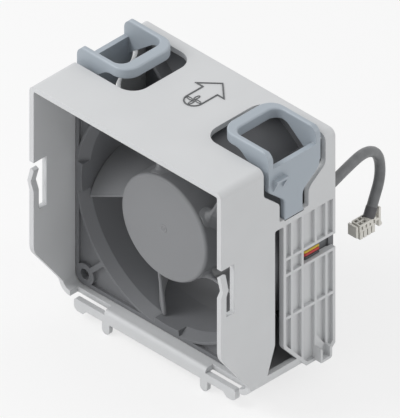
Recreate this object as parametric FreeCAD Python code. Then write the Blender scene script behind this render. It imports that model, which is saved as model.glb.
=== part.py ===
import FreeCAD, Part
import math
import os

from FreeCAD import Vector

# Server fan module: a moulded carrier with two squeeze latches that holds a 92 mm axial fan.
# Millimetres. The origin is the middle of the carrier floor's underside. +Z is up, the air
# enters at the front (-Y) and leaves at the rear (+Y).

# Fan: a standard square axial fan
FAN_SIDE = 92.0
FAN_DEPTH = 38.0
FAN_HOLE_PITCH = 82.5
FAN_HOLE_R = 2.2
FLANGE_THICKNESS = 2.5
FLANGE_CORNER_R = 4.0
FLANGE_BORDER = 1.6
FLANGE_POCKET_DEPTH = 1.5
CORNER_BOSS_R = 4.4
CORNER_WEB = 2.0
THROAT_R = 42.9
THROAT_END = 18.3
OUTLET_R = 44.2
BARREL_WALL = 2.7
BARREL_DRAFT = 0.4
BELL_MOUTH_R = 45.2
BELL_DEPTH = 4.2
BELL_FLAT_HALF_ANGLE = 8.0
BELL_RING_WALL = 0.9
GUSSET_THICKNESS = 1.6
GUSSET_LENGTH = 8.0
GUSSET_BACK = 0.6

# Carrier shell
WALL = 2.2
FAN_GAP = 0.2
CARRIER_DEPTH = 57.5
FAN_RECESS = 20.8
TOP_CORNER_R = 2.8
BOTTOM_CORNER_R = 5.6

# Carrier side walls, distances from the front rim and heights above the floor's underside
PANEL_BOTTOM_Z = 24.6
PANEL_TOE_Y = 13.4
PANEL_TOE_Z = 6.8
PANEL_CORNER_R = 8.0
FLOOR_FRONT_Y = 14.8
SLOT_FRONT_Y = 27.1
SLOT_WIDTH = 4.3
SLOT_TOP_BELOW = 29.5
SLOT_BOTTOM_Z = 6.3
SLOT_HEEL_Z = 17.8
SLOT_HEEL_Y = 23.3
SLOT_CORNER_R = 0.8
RIB_PANEL_KNEE_Z = 14.1
RIB_PANEL_KNEE_R = 4.0
RIB_PANEL_FOOT_Y = 42.9
RIB_PANEL_FOOT_Z = 1.0
RIB_PANEL_HEEL = 3.0

# Rib grid on the side walls
RIB_DEPTH = 1.4
RIB_WIDTH = 1.1
RIB_FRAME = 1.3
RIB_BAR_STEPS = (4.3, 9.6, 16.2, 21.6)
RIB_SHELVES_BELOW = (44.0, 51.0, 69.8)
RIB_SHELF_THICKNESS = 1.2
TRAY_FRONT_Y = 41.6
TRAY_CORNER_R = 1.2

# Spring finger at the front edge of each side wall
FINGER_WIDTH = 2.6
FINGER_SLOT = 3.9
FINGER_TIP_BELOW = 36.1
FINGER_BUMP_BELOW = 42.2
FINGER_STRAIGHT_BELOW = 45.9
FINGER_ROOT_BELOW = 54.6
FINGER_NOTCH = 2.8
FINGER_BUMP = 1.0
FINGER_THICKNESS = 1.7
FINGER_BEND_R = 0.8
FINGER_TIP_R = 0.4

# Locating bar under the front edge of the floor
BAR_THICKNESS = 2.2
BAR_DROP = 3.1
BAR_CENTRE_HALF = 25.5
BAR_CENTRE_REACH = 3.9
BAR_ROUND = 1.7
BAR_EDGE_R = 0.8
BAR_END_R = 1.0
BAR_ARM_TOP = 0.2
BAR_HALF = 40.7
LUG_LENGTH = 4.5
LUG_DROP = 1.7
LUG_ROOT_R = 0.8
LUG_CORNER_R = 2.0
FLOOR_CORNER_WIDTH = 5.8
TONGUE_X = 24.7
TONGUE_WIDTH = 3.7
TONGUE_THICKNESS = 1.7
TONGUE_LENGTH = 4.7
TONGUE_TIP_FLAT = 0.1

# Guide cleat at the rear foot of each side wall
CLEAT_Y = 47.3
CLEAT_WIDTH = 5.8
CLEAT_HEIGHT = 10.5
CLEAT_LOW_SIDE = 5.2
CLEAT_REACH = 2.8
CLEAT_WALL = 1.1
CLEAT_FRONT_R = 0.6
CLEAT_REAR_R = 1.2

# Stops in front of the fan's front flange and ramped catches behind it
STOP_X = 30.0
STOP_DEPTH = 1.5
STOP_HEIGHT = 1.2
CATCH_TOP_X = 12.0
CATCH_FLOOR_X = 30.0
CATCH_WIDTH = 7.0
CATCH_HEIGHT = 1.2
CATCH_LENGTH = 2.5
CATCH_GAP = 0.1

# Squeeze latch: a lever in the side wall with a finger loop over the top
LATCH_GAP = 2.6
LATCH_GAP_DROP = 0.4
LATCH_ROOT_GAP = 0.2
LATCH_EDGE_R = 0.8
LATCH_FRONT_Y = 24.0
LATCH_WIDTH = 26.0
LATCH_NECK_FRONT_Y = 32.0
LATCH_NECK_WIDTH = 9.4
LATCH_ROOT_BELOW = 26.5
LATCH_TOP_BELOW = 1.8
SHOULDER_FRONT_BELOW = (11.3, 18.3)
SHOULDER_REAR_BELOW = (12.0, 18.5)
SHOULDER_FRONT_R = 3.0
SHOULDER_REAR_R = 4.0
SLOT_END_R = 0.6
LOOP_REACH = 25.0
LOOP_RISE = 5.3
LOOP_SKIRT = 4.2
LOOP_ARM = 2.2
LOOP_BAR = 4.8
LOOP_CORNER_R = 6.6
LOOP_INNER_R = 4.0
LOOP_SHOULDER_R = 4.0
LOOP_GROOVE_WALL = 1.4
LOOP_GROOVE_DEPTH = 2.6
LOOP_EDGE_R = 0.8
LOOP_HEEL_BELOW = 9.0
LOOP_HEEL_REACH = 15.0
LOOP_HEEL_R = 6.0
TOP_CUT_REACH = 31.0
TOP_CUT_R = 7.0
TOOTH_BELOW = 6.4
TOOTH_HEIGHT = 5.5
TOOTH_LIP = 1.0
TOOTH_FROM_EDGE = 2.1
TOOTH_WIDTH = 5.8
TOOTH_REACH = 2.2
TOOTH_LEDGE = 1.0
TOOTH_RIB = 0.9

# Impeller and motor, distances back from the fan's front face
BLADE_COUNT = 5
HUB_R = 21.5
HUB_PROUD = 1.5
HUB_REAR = 26.0
HUB_WALL = 1.5
HUB_EDGE_R = 1.2
BLADE_PHASE = 58.0
BLADE_TIP_GAP = 0.7
BLADE_FRONT = 2.9
BLADE_REAR = 25.2
BLADE_THICKNESS = 1.9
BLADE_NOSE_R = 0.8
BLADE_TAIL = 0.6
BLADE_CAMBER = 2.0
BLADE_CAMBER_GAIN = 0.064
BLADE_FILLET = 4.0
BLADE_FILLET_STEPS = (-1.6, -1.0, -0.6, -0.3, -0.05, 0.15, 0.35, 0.6, 1.0)
LEADING_ROOT = -0.2
LEADING_SWEEP = -0.587
TRAILING_ROOT = 9.0
TRAILING_SWEEP = -0.257
SHAFT_R = 1.5
SHAFT_START = 1.0
SHAFT_END = 32.0
SHAFT_CHAMFER = 0.4
HUB_BOSS_R = 3.4
HUB_BOSS_END = 5.0
YOKE_WALL = 1.2
YOKE_END = 23.6
MAGNET_THICKNESS = 2.2
MAGNET_START = 5.0
MAGNET_END = 22.0
AIR_GAP = 0.5
POLE_COUNT = 4
CORE_START = 8.0
CORE_END = 19.0
POLE_NECK = 4.4
POLE_SHOE = 2.0
POLE_SHOE_SPLIT = 3.0
CORE_RING = 2.2
COIL_THICKNESS = 2.2
COIL_END_TURN = 1.6
COIL_CLEAR = 0.1
COIL_INSET = 0.5
COIL_ROOM = 4.0
COIL_SECTOR = 1.6
BOBBIN_WALL = 0.6
TUBE_OUTER_R = 5.2
TUBE_START = 6.2
TUBE_LIP = 1.0
BEARING_R = 4.0
BEARING_WIDTH = 4.0
BEARING_RACE = 0.8
BEARING_SHIELD = 0.3
BEARING_SHIELD_GAP = 0.15
BALL_COUNT = 7
BALL_R = 0.4
FRONT_BEARING_START = 6.4
REAR_BEARING_START = 25.0
CLIP_R = 2.6
CLIP_THICKNESS = 0.5
CLIP_GAP = 0.2
CLIP_MOUTH = 1.4
BOARD_R = 16.8
BOARD_THICKNESS = 1.6
BOARD_FLAT = 1.6
BOARD_CLEAR = 0.4
BOARD_START = 24.4
BOARD_POST_R = 1.6
BOARD_POST_PITCH_R = 14.0
CHIP_SIZE = 5.0
CHIP_HEIGHT = 1.3
SENSOR_WIDTH = 3.0
SENSOR_LENGTH = 2.0
SENSOR_HEIGHT = 1.0
CAPACITOR_R = 1.7
CAPACITOR_HEIGHT = 2.4
CAPACITOR_PITCH = 4.4
BOARD_POST_COUNT = 3
BOARD_POST_PHASE = 40.0
BASE_START = 27.6
BASE_WALL = 1.6
BASE_FLOOR = 1.8
BASE_INSET = 0.4
BASE_CHAMFER = 0.8
TUBE_SEAT = 2.0
CLIP_ROOM = 1.2
STRUT_COUNT = 7
STRUT_START = 29.0
STRUT_THICKNESS = 1.8
STRUT_INSET = 0.6
STRUT_ROOT = 0.7
STRUT_TILT = 18.0
STRUT_PHASE = 12.0

# Fan leads, sleeved cable and connector
LEAD_COUNT = 4
LEAD_R = 0.6
LEAD_PITCH = 1.35
LEAD_CLEAR = 0.5
LEAD_START_Y = 50.5
LEAD_TURN_Y = 43.2
LEAD_POCKET_DEPTH = 1.6
LEAD_POCKET_GAP = 0.15
CABLE_R = 2.0
CABLE_X = 42.5
CABLE_BELOW = 29.6
GROMMET_FLANGE = 0.7
GROMMET_LIP = 0.8
GROMMET_TAIL = 1.65
GROMMET_TAIL_RIM = 0.3
CABLE_TURN_SHARE = 0.45
CONNECTOR_LENGTH = 8.6
CONNECTOR_THICKNESS = 4.4
CONNECTOR_BLOCK = 3.0
CONNECTOR_HEIGHT = 6.5
CONNECTOR_SHIFT = 3.0
CONNECTOR_NECK_LENGTH = 3.4
CONNECTOR_NECK_R = 1.8
CONNECTOR_CORNER_R = 0.4
CELL_ROWS = 2
CELL_COLUMNS = 4
CELL_ROW_PITCH = 2.1
CELL_PITCH = 2.0
CELL_SIZE = 1.4
CELL_DEPTH = 1.6
WINDOW_WIDTH = 0.8
WINDOW_HEIGHT = 1.4
WINDOW_BELOW = 0.9
WINDOW_DEPTH = 0.5
LEG_SIZE = 1.5
LEG_SPREAD = 3.6
LEG_CORE = 2.4
TERMINAL_SIZE = 0.8
TERMINAL_REACH = 0.7
END_PLATE_HEIGHT = 4.6
END_PLATE_WIDTH = 4.2
END_PLATE_THICKNESS = 0.9
END_PLATE_STEM = 0.8
PLUG_ARM_WIDTH = 2.2
PLUG_ARM_THICKNESS = 1.0
PLUG_ARM_RISE = 2.2
PLUG_ARM_DROP = 5.9
PLUG_ARM_GAP = 2.1
PLUG_ARM_BARB = 0.7

# Derived places
CARRIER_WIDTH = FAN_SIDE + 2 * (FAN_GAP + WALL)
CARRIER_HEIGHT = CARRIER_WIDTH
HALF_WIDTH = CARRIER_WIDTH / 2
FRONT = -CARRIER_DEPTH / 2
REAR = CARRIER_DEPTH / 2
AXIS_Z = WALL + FAN_GAP + FAN_SIDE / 2
FAN_FRONT = FRONT + FAN_RECESS
FAN_REAR = FAN_FRONT + FAN_DEPTH
FLANGE_HALF = FAN_SIDE / 2
HOLE_HALF = FAN_HOLE_PITCH / 2
BARREL_R = THROAT_R + BARREL_WALL
OVER = 2.0
TINY = 1e-6
INNER_X = HALF_WIDTH - WALL
LATCH_REAR_Y = LATCH_FRONT_Y + LATCH_WIDTH
LATCH_NECK_REAR_Y = LATCH_NECK_FRONT_Y + LATCH_NECK_WIDTH
PIVOT_Z = CARRIER_HEIGHT - LATCH_ROOT_BELOW
LOOP_TOP = CARRIER_HEIGHT + LOOP_RISE
RIB_PANEL_FRONT_Y = SLOT_FRONT_Y + SLOT_WIDTH
BLADE_TIP_R = THROAT_R - BLADE_TIP_GAP
YOKE_R = HUB_R - HUB_WALL
MAGNET_R = YOKE_R - YOKE_WALL
CORE_R = MAGNET_R - MAGNET_THICKNESS - AIR_GAP
CABLE_Z = CARRIER_HEIGHT - CABLE_BELOW
CABLE_EXIT = Vector(CABLE_X, FAN_REAR, CABLE_Z)
LEAD_LOW = CARRIER_HEIGHT - RIB_SHELVES_BELOW[1] + LEAD_R + LEAD_POCKET_GAP
LEAD_X = BARREL_R + LEAD_R + LEAD_CLEAR

# The cable's route by hand, after the grommet's mouth: back, over and down to the plug
CABLE_POINTS = (
    Vector(38.76, 44.35, 67.7),
    Vector(35.27, 57.39, 66.8),
    Vector(32.91, 66.18, 60.1),
    Vector(32.57, 67.44, 49.6),
    Vector(33.79, 62.9, 42.2),
    Vector(34.57, 60.0, 37.9),
)


def from_front(distance):
    """Y of a place this far behind the carrier's front rim."""
    return FRONT + distance


def in_fan(distance):
    """Y of a place this far behind the fan's front face."""
    return FAN_FRONT + distance


def below_top(distance):
    """Z of a place this far below the carrier's top."""
    return CARRIER_HEIGHT - distance


def box(x0, x1, y0, y1, z0, z1):
    """A block between two corners."""
    low = Vector(min(x0, x1), min(y0, y1), min(z0, z1))
    return Part.makeBox(abs(x1 - x0), abs(y1 - y0), abs(z1 - z0), low)


def corner_cut(before, corner, after, radius):
    """Start, middle and end of the arc that rounds a corner."""
    back = (before - corner).normalize()
    on = (after - corner).normalize()
    half = back.getAngle(on) / 2
    middle = (back + on).normalize()
    centre = corner + middle * (radius / math.sin(half))
    length = radius / math.tan(half)
    return corner + back * length, centre - middle * radius, corner + on * length


def outline(points, radii=0.0):
    """A flat face from corner points, each rounded by its own radius."""
    if not isinstance(radii, (list, tuple)):
        radii = [radii] * len(points)
    count = len(points)
    edges = []
    stops = []
    for i, corner in enumerate(points):
        if radii[i] > 0:
            start, middle, end = corner_cut(points[i - 1], corner, points[(i + 1) % count], radii[i])
            edges.append(Part.Arc(start, middle, end).toShape())
            stops.append((start, end))
        else:
            stops.append((corner, corner))
    for i in range(count):
        start, end = stops[i][1], stops[(i + 1) % count][0]
        if start.distanceToPoint(end) > TINY:
            edges.append(Part.LineSegment(start, end).toShape())
    return Part.Face(Part.Wire(Part.__sortEdges__(edges)))


def along_y(pairs, y0, y1, radii=0.0):
    """A prism along Y from (x, z) corners."""
    face = outline([Vector(x, y0, z) for x, z in pairs], radii)
    return face.extrude(Vector(0, y1 - y0, 0))


def along_x(pairs, x0, x1, radii=0.0):
    """A prism along X from (y, z) corners."""
    face = outline([Vector(x0, y, z) for y, z in pairs], radii)
    return face.extrude(Vector(x1 - x0, 0, 0))


def along_z(pairs, z0, z1, radii=0.0):
    """A prism along Z from (x, y) corners."""
    face = outline([Vector(x, y, z0) for x, y in pairs], radii)
    return face.extrude(Vector(0, 0, z1 - z0))


def rod(x, z, radius, y0, y1):
    """A round bar along Y."""
    return Part.makeCylinder(radius, y1 - y0, Vector(x, y0, z), Vector(0, 1, 0))


def turned(pairs):
    """A solid of revolution about the fan's axis from (radius, y) corners."""
    face = outline([Vector(r, y, AXIS_Z) for r, y in pairs])
    return face.revolve(Vector(0, 0, AXIS_Z), Vector(0, 1, 0), 360)


def spun(shape, count, phase=0.0):
    """Copies of a shape, evenly turned about the fan's axis."""
    copies = []
    for i in range(count):
        copy = shape.copy()
        copy.rotate(Vector(0, 0, AXIS_Z), Vector(0, 1, 0), phase + i * 360.0 / count)
        copies.append(copy)
    return copies


def mirrored(shape):
    """The same shape on the carrier's other side."""
    return shape.mirror(Vector(0, 0, 0), Vector(1, 0, 0))


def both_sides(shape):
    """A right-hand shape and its mirror image."""
    return [shape, mirrored(shape)]


def joined(shapes):
    """One solid from overlapping shapes."""
    return shapes[0].multiFuse(shapes[1:]).removeSplitter()


def cut(shape, tools):
    """A shape less several tools."""
    return shape.cut(tools)


def save(name, shape):
    """Writes one sub-part, after a check that it is sound."""
    shape = shape.removeSplitter() if len(shape.Solids) == 1 else shape
    if not shape.isValid():
        print("not valid:", name)
    shape.exportStep(os.path.join("parts", name + ".step"))
    print(name, len(shape.Solids), "solids", round(shape.Volume, 1), "mm3")


# Carrier shell and floor


def carrier_shell():
    """The square tube of the carrier, rounded along its four long edges."""
    half, height = HALF_WIDTH, CARRIER_HEIGHT
    outer = [(-half, 0), (half, 0), (half, height), (-half, height)]
    inner = [(-INNER_X, WALL), (INNER_X, WALL), (INNER_X, height - WALL), (-INNER_X, height - WALL)]
    low, high = BOTTOM_CORNER_R, TOP_CORNER_R
    low_in, high_in = low - WALL, high - WALL
    body = along_y(outer, FRONT, REAR, [low, low, high, high])
    bore = along_y(inner, FRONT - OVER, REAR + OVER, [low_in, low_in, high_in, high_in])
    return body.cut(bore)


def front_toe_cut():
    """What the side walls and floor lack at their lower front, a rounded slant."""
    pairs = [
        (FRONT - OVER, -OVER),
        (from_front(FLOOR_FRONT_Y), -OVER),
        (from_front(FLOOR_FRONT_Y), PANEL_TOE_Z - WALL),
        (from_front(PANEL_TOE_Y), PANEL_TOE_Z),
        (FRONT, PANEL_BOTTOM_Z),
        (FRONT - OVER, PANEL_BOTTOM_Z + OVER),
    ]
    slant = along_x(pairs, -HALF_WIDTH - OVER, HALF_WIDTH + OVER)
    return slant


def toe_round():
    """Rounds the convex corner where the front rim meets the slant."""
    top = PANEL_BOTTOM_Z + PANEL_CORNER_R
    edge = Vector(0, FRONT, PANEL_BOTTOM_Z)
    toe = Vector(0, from_front(PANEL_TOE_Y), PANEL_TOE_Z)
    start, middle, end = corner_cut(Vector(0, FRONT, top), edge, toe, PANEL_CORNER_R)
    wire = Part.Wire(
        [
            Part.Arc(start, middle, end).toShape(),
            Part.LineSegment(end, Vector(0, FRONT - OVER, end.z)).toShape(),
            Part.LineSegment(Vector(0, FRONT - OVER, end.z), Vector(0, FRONT - OVER, start.z)).toShape(),
            Part.LineSegment(Vector(0, FRONT - OVER, start.z), start).toShape(),
        ]
    )
    tool = Part.Face(wire).extrude(Vector(CARRIER_WIDTH + 2 * OVER, 0, 0))
    tool.translate(Vector(-HALF_WIDTH - OVER, 0, 0))
    return tool


def floor_front_cut():
    """The floor stops further back than its corners, behind the locating bar."""
    half = HALF_WIDTH - FLOOR_CORNER_WIDTH
    return box(-half, half, FRONT - OVER, from_front(FLOOR_FRONT_Y + BAR_CENTRE_REACH), -OVER, WALL + OVER)


def wall_slot():
    """The open slot between the front panel and the ribbed panel of one side wall."""
    rear = from_front(RIB_PANEL_FRONT_Y)
    knee = RIB_PANEL_KNEE_Z - SLOT_BOTTOM_Z
    run = knee * (RIB_PANEL_FOOT_Y - RIB_PANEL_FRONT_Y) / (RIB_PANEL_KNEE_Z - RIB_PANEL_FOOT_Z)
    top = below_top(SLOT_TOP_BELOW)
    pairs = [
        (from_front(SLOT_FRONT_Y), top),
        (rear, top),
        (rear, RIB_PANEL_KNEE_Z),
        (rear + run, SLOT_BOTTOM_Z),
        (from_front(SLOT_HEEL_Y), SLOT_BOTTOM_Z),
        (from_front(SLOT_FRONT_Y), SLOT_HEEL_Z),
    ]
    radii = [SLOT_CORNER_R, SLOT_CORNER_R, RIB_PANEL_KNEE_R, 0, 0, 0]
    return along_x(pairs, INNER_X - OVER, HALF_WIDTH + OVER, radii)


def rib_panel_pairs(inset):
    """Corners of the ribbed panel, moved inwards by inset."""
    rear = REAR - inset
    foot = RIB_PANEL_FOOT_Z + inset
    front = from_front(RIB_PANEL_FRONT_Y) + inset
    return [
        (front, below_top(SLOT_TOP_BELOW)),
        (front, RIB_PANEL_KNEE_Z + inset / 2),
        (from_front(RIB_PANEL_FOOT_Y) + inset / 2, foot),
        (rear - RIB_PANEL_HEEL, foot),
        (rear, foot + RIB_PANEL_HEEL),
        (rear, below_top(SLOT_TOP_BELOW)),
    ]


def rib_panel_plate():
    """The ribbed panel reaches down to a square foot, below the rounded corner."""
    return along_x(rib_panel_pairs(0.0), INNER_X, HALF_WIDTH, [0, RIB_PANEL_KNEE_R, 0, 0, 0, 0])


def rib_pockets():
    """The pockets between the ribs of one side wall."""
    outer = HALF_WIDTH + OVER
    base = HALF_WIDTH - RIB_DEPTH
    knee_r = max(RIB_PANEL_KNEE_R - RIB_FRAME, 0.0)
    field = along_x(rib_panel_pairs(RIB_FRAME), base, outer, [0, knee_r, 0, 0, 0, 0])
    front = from_front(RIB_PANEL_FRONT_Y)
    bars = []
    for step in RIB_BAR_STEPS:
        middle = front + step
        bars.append(box(base, outer, middle - RIB_WIDTH / 2, middle + RIB_WIDTH / 2, -OVER, CARRIER_HEIGHT))
    for down in RIB_SHELVES_BELOW:
        top = below_top(down)
        bars.append(box(base, outer, front, REAR, top - RIB_SHELF_THICKNESS, top))
    return field.cut(bars)


def tray_opening():
    """The lead tray is open to the outside and to the rear."""
    top = below_top(RIB_SHELVES_BELOW[0] + RIB_SHELF_THICKNESS)
    low = below_top(RIB_SHELVES_BELOW[1])
    return box(INNER_X - OVER, HALF_WIDTH + OVER, from_front(TRAY_FRONT_Y), REAR + OVER, low, top)


def tray_shelf():
    """The tray's floor reaches inwards past the wall, to the fan's barrel."""
    top = below_top(RIB_SHELVES_BELOW[1])
    rear = in_fan(FAN_DEPTH - FLANGE_THICKNESS) - FAN_GAP
    front = from_front(TRAY_FRONT_Y)
    inner = BARREL_R + FAN_GAP
    pairs = [(inner, front), (INNER_X + OVER / 2, front), (INNER_X + OVER / 2, rear), (inner, rear)]
    return along_z(pairs, top - RIB_SHELF_THICKNESS, top, [0, 0, 0, TRAY_CORNER_R])


def finger_cut():
    """The slot and notch that free the spring finger of one side wall."""
    inner, outer = INNER_X - OVER, HALF_WIDTH + OVER
    notch_top = below_top(FINGER_TIP_BELOW - FINGER_NOTCH)
    reach = from_front(FINGER_WIDTH + FINGER_SLOT)
    slot = box(inner, outer, from_front(FINGER_WIDTH), reach, below_top(FINGER_ROOT_BELOW), notch_top)
    free = box(inner, outer, FRONT - OVER, reach, below_top(FINGER_STRAIGHT_BELOW), notch_top)
    return joined([slot, free])


def finger_bend():
    """The finger's free end, bent outwards and back like a ramp."""
    straight = below_top(FINGER_STRAIGHT_BELOW)
    bump = below_top(FINGER_BUMP_BELOW)
    tip = below_top(FINGER_TIP_BELOW)
    out = HALF_WIDTH + FINGER_BUMP
    pairs = [
        (HALF_WIDTH - WALL, straight - WALL),
        (HALF_WIDTH, straight - WALL),
        (HALF_WIDTH, straight),
        (out, bump),
        (INNER_X + FINGER_THICKNESS, tip),
        (INNER_X, tip - FINGER_THICKNESS / 2),
        (out - FINGER_THICKNESS, bump),
        (INNER_X, straight),
    ]
    radii = [0, 0, 0, FINGER_BEND_R, FINGER_TIP_R, FINGER_TIP_R, FINGER_BEND_R, 0]
    return along_y(pairs, FRONT, from_front(FINGER_WIDTH), radii)


def locating_bar():
    """The bar along the floor's front edge: a rounded middle and two free arms with end lugs."""
    front = from_front(FLOOR_FRONT_Y)
    join = from_front(FLOOR_FRONT_Y + BAR_CENTRE_REACH + WALL)
    middle = along_x(
        [
            (front, -BAR_DROP),
            (front + BAR_THICKNESS, -BAR_DROP),
            (front + BAR_THICKNESS, 0.0),
            (join, 0.0),
            (join, WALL),
            (front, WALL),
        ],
        -BAR_CENTRE_HALF,
        BAR_CENTRE_HALF,
        [0, 0, BAR_EDGE_R, 0, 0, BAR_ROUND],
    )
    arm_end = BAR_HALF - LUG_LENGTH
    low = -BAR_DROP
    lug_low = low - LUG_DROP
    pairs = [
        (BAR_CENTRE_HALF - WALL, low),
        (arm_end - LUG_DROP, low),
        (arm_end, lug_low),
        (BAR_HALF, lug_low),
        (BAR_HALF, BAR_ARM_TOP),
        (BAR_CENTRE_HALF - WALL, BAR_ARM_TOP),
    ]
    radii = [0, LUG_ROOT_R, LUG_ROOT_R, LUG_CORNER_R, BAR_END_R, 0]
    arm = along_y(pairs, front, front + BAR_THICKNESS, radii)
    return [middle] + both_sides(arm)


def tongue():
    """A round-ended tongue under the bar, on the right."""
    front = from_front(FLOOR_FRONT_Y)
    tip = -BAR_DROP - TONGUE_LENGTH
    low, high = TONGUE_X - TONGUE_WIDTH / 2, TONGUE_X + TONGUE_WIDTH / 2
    round_r = (TONGUE_WIDTH - TONGUE_TIP_FLAT) / 2
    pairs = [(low, tip), (high, tip), (high, WALL / 2 - BAR_DROP), (low, WALL / 2 - BAR_DROP)]
    return along_y(pairs, front, front + TONGUE_THICKNESS, [round_r, round_r, 0, 0])


def cleat():
    """A trough-shaped cleat that stands out of the side wall's rear foot, on the right."""
    front = from_front(CLEAT_Y)
    rear = front + CLEAT_WIDTH
    foot = RIB_PANEL_FOOT_Z
    inner = INNER_X + WALL / 2
    outer = HALF_WIDTH + CLEAT_REACH
    block = along_x(
        [
            (front, foot),
            (rear, foot),
            (rear, foot + CLEAT_LOW_SIDE),
            (rear - CLEAT_WALL, foot + CLEAT_LOW_SIDE),
            (front + CLEAT_WALL, foot + CLEAT_HEIGHT),
            (front, foot + CLEAT_HEIGHT),
        ],
        inner,
        outer,
        [CLEAT_FRONT_R, CLEAT_REAR_R, 0, 0, 0, 0],
    )
    hollow = along_x(
        [
            (front + CLEAT_WALL, foot + CLEAT_WALL),
            (rear - CLEAT_WALL, foot + CLEAT_WALL),
            (rear - CLEAT_WALL, foot + CLEAT_HEIGHT + OVER),
            (front + CLEAT_WALL, foot + CLEAT_HEIGHT + OVER),
        ],
        HALF_WIDTH,
        outer + OVER,
    )
    slant = along_x(
        [
            (front - OVER, foot + CLEAT_HEIGHT - CLEAT_WALL),
            (front + CLEAT_WALL, foot + CLEAT_LOW_SIDE),
            (rear, foot + CLEAT_LOW_SIDE),
            (rear, foot + CLEAT_HEIGHT + OVER),
            (front - OVER, foot + CLEAT_HEIGHT + OVER),
        ],
        HALF_WIDTH,
        outer + OVER,
    )
    return block.cut([hollow, slant])


def fan_catch(x, up):
    """A ramp behind the fan's front flange, on the floor or, with up, on the top wall."""
    front = FAN_FRONT + FLANGE_THICKNESS + CATCH_GAP
    rear = front + CATCH_LENGTH
    pairs = [(front, WALL / 2), (front, WALL + CATCH_HEIGHT), (rear, WALL), (rear, WALL / 2)]
    ramp = along_x(pairs, x - CATCH_WIDTH / 2, x + CATCH_WIDTH / 2)
    if up:
        ramp = ramp.mirror(Vector(0, 0, AXIS_Z), Vector(0, 0, 1))
    return ramp


def fan_stop(x):
    """A rib under the top wall that the fan's front flange comes to rest against."""
    top = CARRIER_HEIGHT - WALL
    front = FAN_FRONT - STOP_DEPTH - CATCH_GAP
    pairs = [(front, top + WALL / 2), (front, top), (front + STOP_DEPTH, top - STOP_HEIGHT)]
    pairs.append((front + STOP_DEPTH, top + WALL / 2))
    return along_x(pairs, x - CATCH_WIDTH / 2, x + CATCH_WIDTH / 2)


def latch_side_pairs(gap):
    """Outline of the latch lever in its side wall, grown by gap, without the root."""
    front = from_front(LATCH_FRONT_Y) - gap
    rear = from_front(LATCH_REAR_Y) + gap
    neck_front = from_front(LATCH_NECK_FRONT_Y) - gap
    neck_rear = from_front(LATCH_NECK_REAR_Y) + gap
    shift = LATCH_GAP_DROP if gap > 0 else 0.0
    return [
        (front, below_top(LATCH_TOP_BELOW)),
        (front, below_top(SHOULDER_FRONT_BELOW[0] + shift)),
        (neck_front, below_top(SHOULDER_FRONT_BELOW[1] + shift)),
        (neck_front, PIVOT_Z),
        (neck_rear, PIVOT_Z),
        (neck_rear, below_top(SHOULDER_REAR_BELOW[1] + shift)),
        (rear, below_top(SHOULDER_REAR_BELOW[0] + shift)),
        (rear, below_top(LATCH_TOP_BELOW)),
    ]


def latch_cutout():
    """The opening round one latch: down the side wall and across the top."""
    pairs = latch_side_pairs(LATCH_GAP)
    high = CARRIER_HEIGHT + OVER
    pairs[0] = (pairs[0][0], high)
    pairs[-1] = (pairs[-1][0], high)
    front_r, rear_r = SHOULDER_FRONT_R, SHOULDER_REAR_R
    radii = [0, front_r, front_r, SLOT_END_R, SLOT_END_R, rear_r, rear_r, 0]
    side = along_x(pairs, INNER_X - OVER, HALF_WIDTH + OVER, radii)
    front = from_front(LATCH_FRONT_Y) - LATCH_GAP
    rear = from_front(LATCH_REAR_Y) + LATCH_GAP
    inner = HALF_WIDTH - TOP_CUT_REACH
    outer = HALF_WIDTH + OVER
    plan = [(inner, front), (outer, front), (outer, rear), (inner, rear)]
    top = along_z(plan, CARRIER_HEIGHT - WALL - OVER, high, [TOP_CUT_R, 0, 0, TOP_CUT_R])
    return joined([side, top, hinge_bar(LATCH_ROOT_GAP)])


def hinge_bar(gap):
    """The round bending line at the lever's root, grown by gap all round."""
    y0 = from_front(LATCH_NECK_FRONT_Y) - gap
    y1 = from_front(LATCH_NECK_REAR_Y) + gap
    return rod(HALF_WIDTH - WALL / 2, PIVOT_Z, WALL / 2 + gap, y0, y1)


def carrier():
    """The whole carrier moulding."""
    tools = [front_toe_cut(), toe_round(), floor_front_cut()]
    tools += both_sides(wall_slot()) + both_sides(finger_cut()) + both_sides(latch_cutout())
    body = cut(carrier_shell(), tools)
    adds = locating_bar() + both_sides(tongue()) + both_sides(finger_bend())
    adds += both_sides(rib_panel_plate())
    for side in (-1, 1):
        adds.append(fan_catch(side * CATCH_FLOOR_X, False))
        adds.append(fan_catch(side * CATCH_TOP_X, True))
        adds.append(fan_stop(side * STOP_X))
    body = joined([body] + adds)
    bore_low = box(-INNER_X, INNER_X, FRONT, REAR, WALL, WALL + BOTTOM_CORNER_R)
    corner_bore = along_y(
        [(-INNER_X, WALL), (INNER_X, WALL), (INNER_X, AXIS_Z), (-INNER_X, AXIS_Z)],
        FAN_FRONT - FAN_GAP,
        REAR + OVER,
        [BOTTOM_CORNER_R - WALL] * 2 + [0, 0],
    )
    body = body.cut([corner_bore.common(bore_low)] + both_sides(rib_pockets()) + both_sides(tray_opening()))
    return joined([body] + both_sides(tray_shelf()) + both_sides(cleat()))


# Squeeze latch


def latch_lever():
    """The lever plate of the right latch, flush with the side wall, its outer edges rounded."""
    front_r, rear_r = SHOULDER_FRONT_R, SHOULDER_REAR_R
    radii = [0, front_r, front_r, 0, 0, rear_r, rear_r, 0]
    plate = along_x(latch_side_pairs(0.0), INNER_X, HALF_WIDTH, radii)
    top = below_top(LATCH_TOP_BELOW)
    rims = []
    for edge in plate.Edges:
        place = edge.BoundBox
        outside = place.XMin > HALF_WIDTH - TINY
        level_end = place.ZLength < TINY and (place.ZMax > top - TINY or place.ZMin < PIVOT_Z + TINY)
        if outside and not level_end:
            rims.append(edge)
    return plate.makeFillet(LATCH_EDGE_R, rims)


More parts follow.
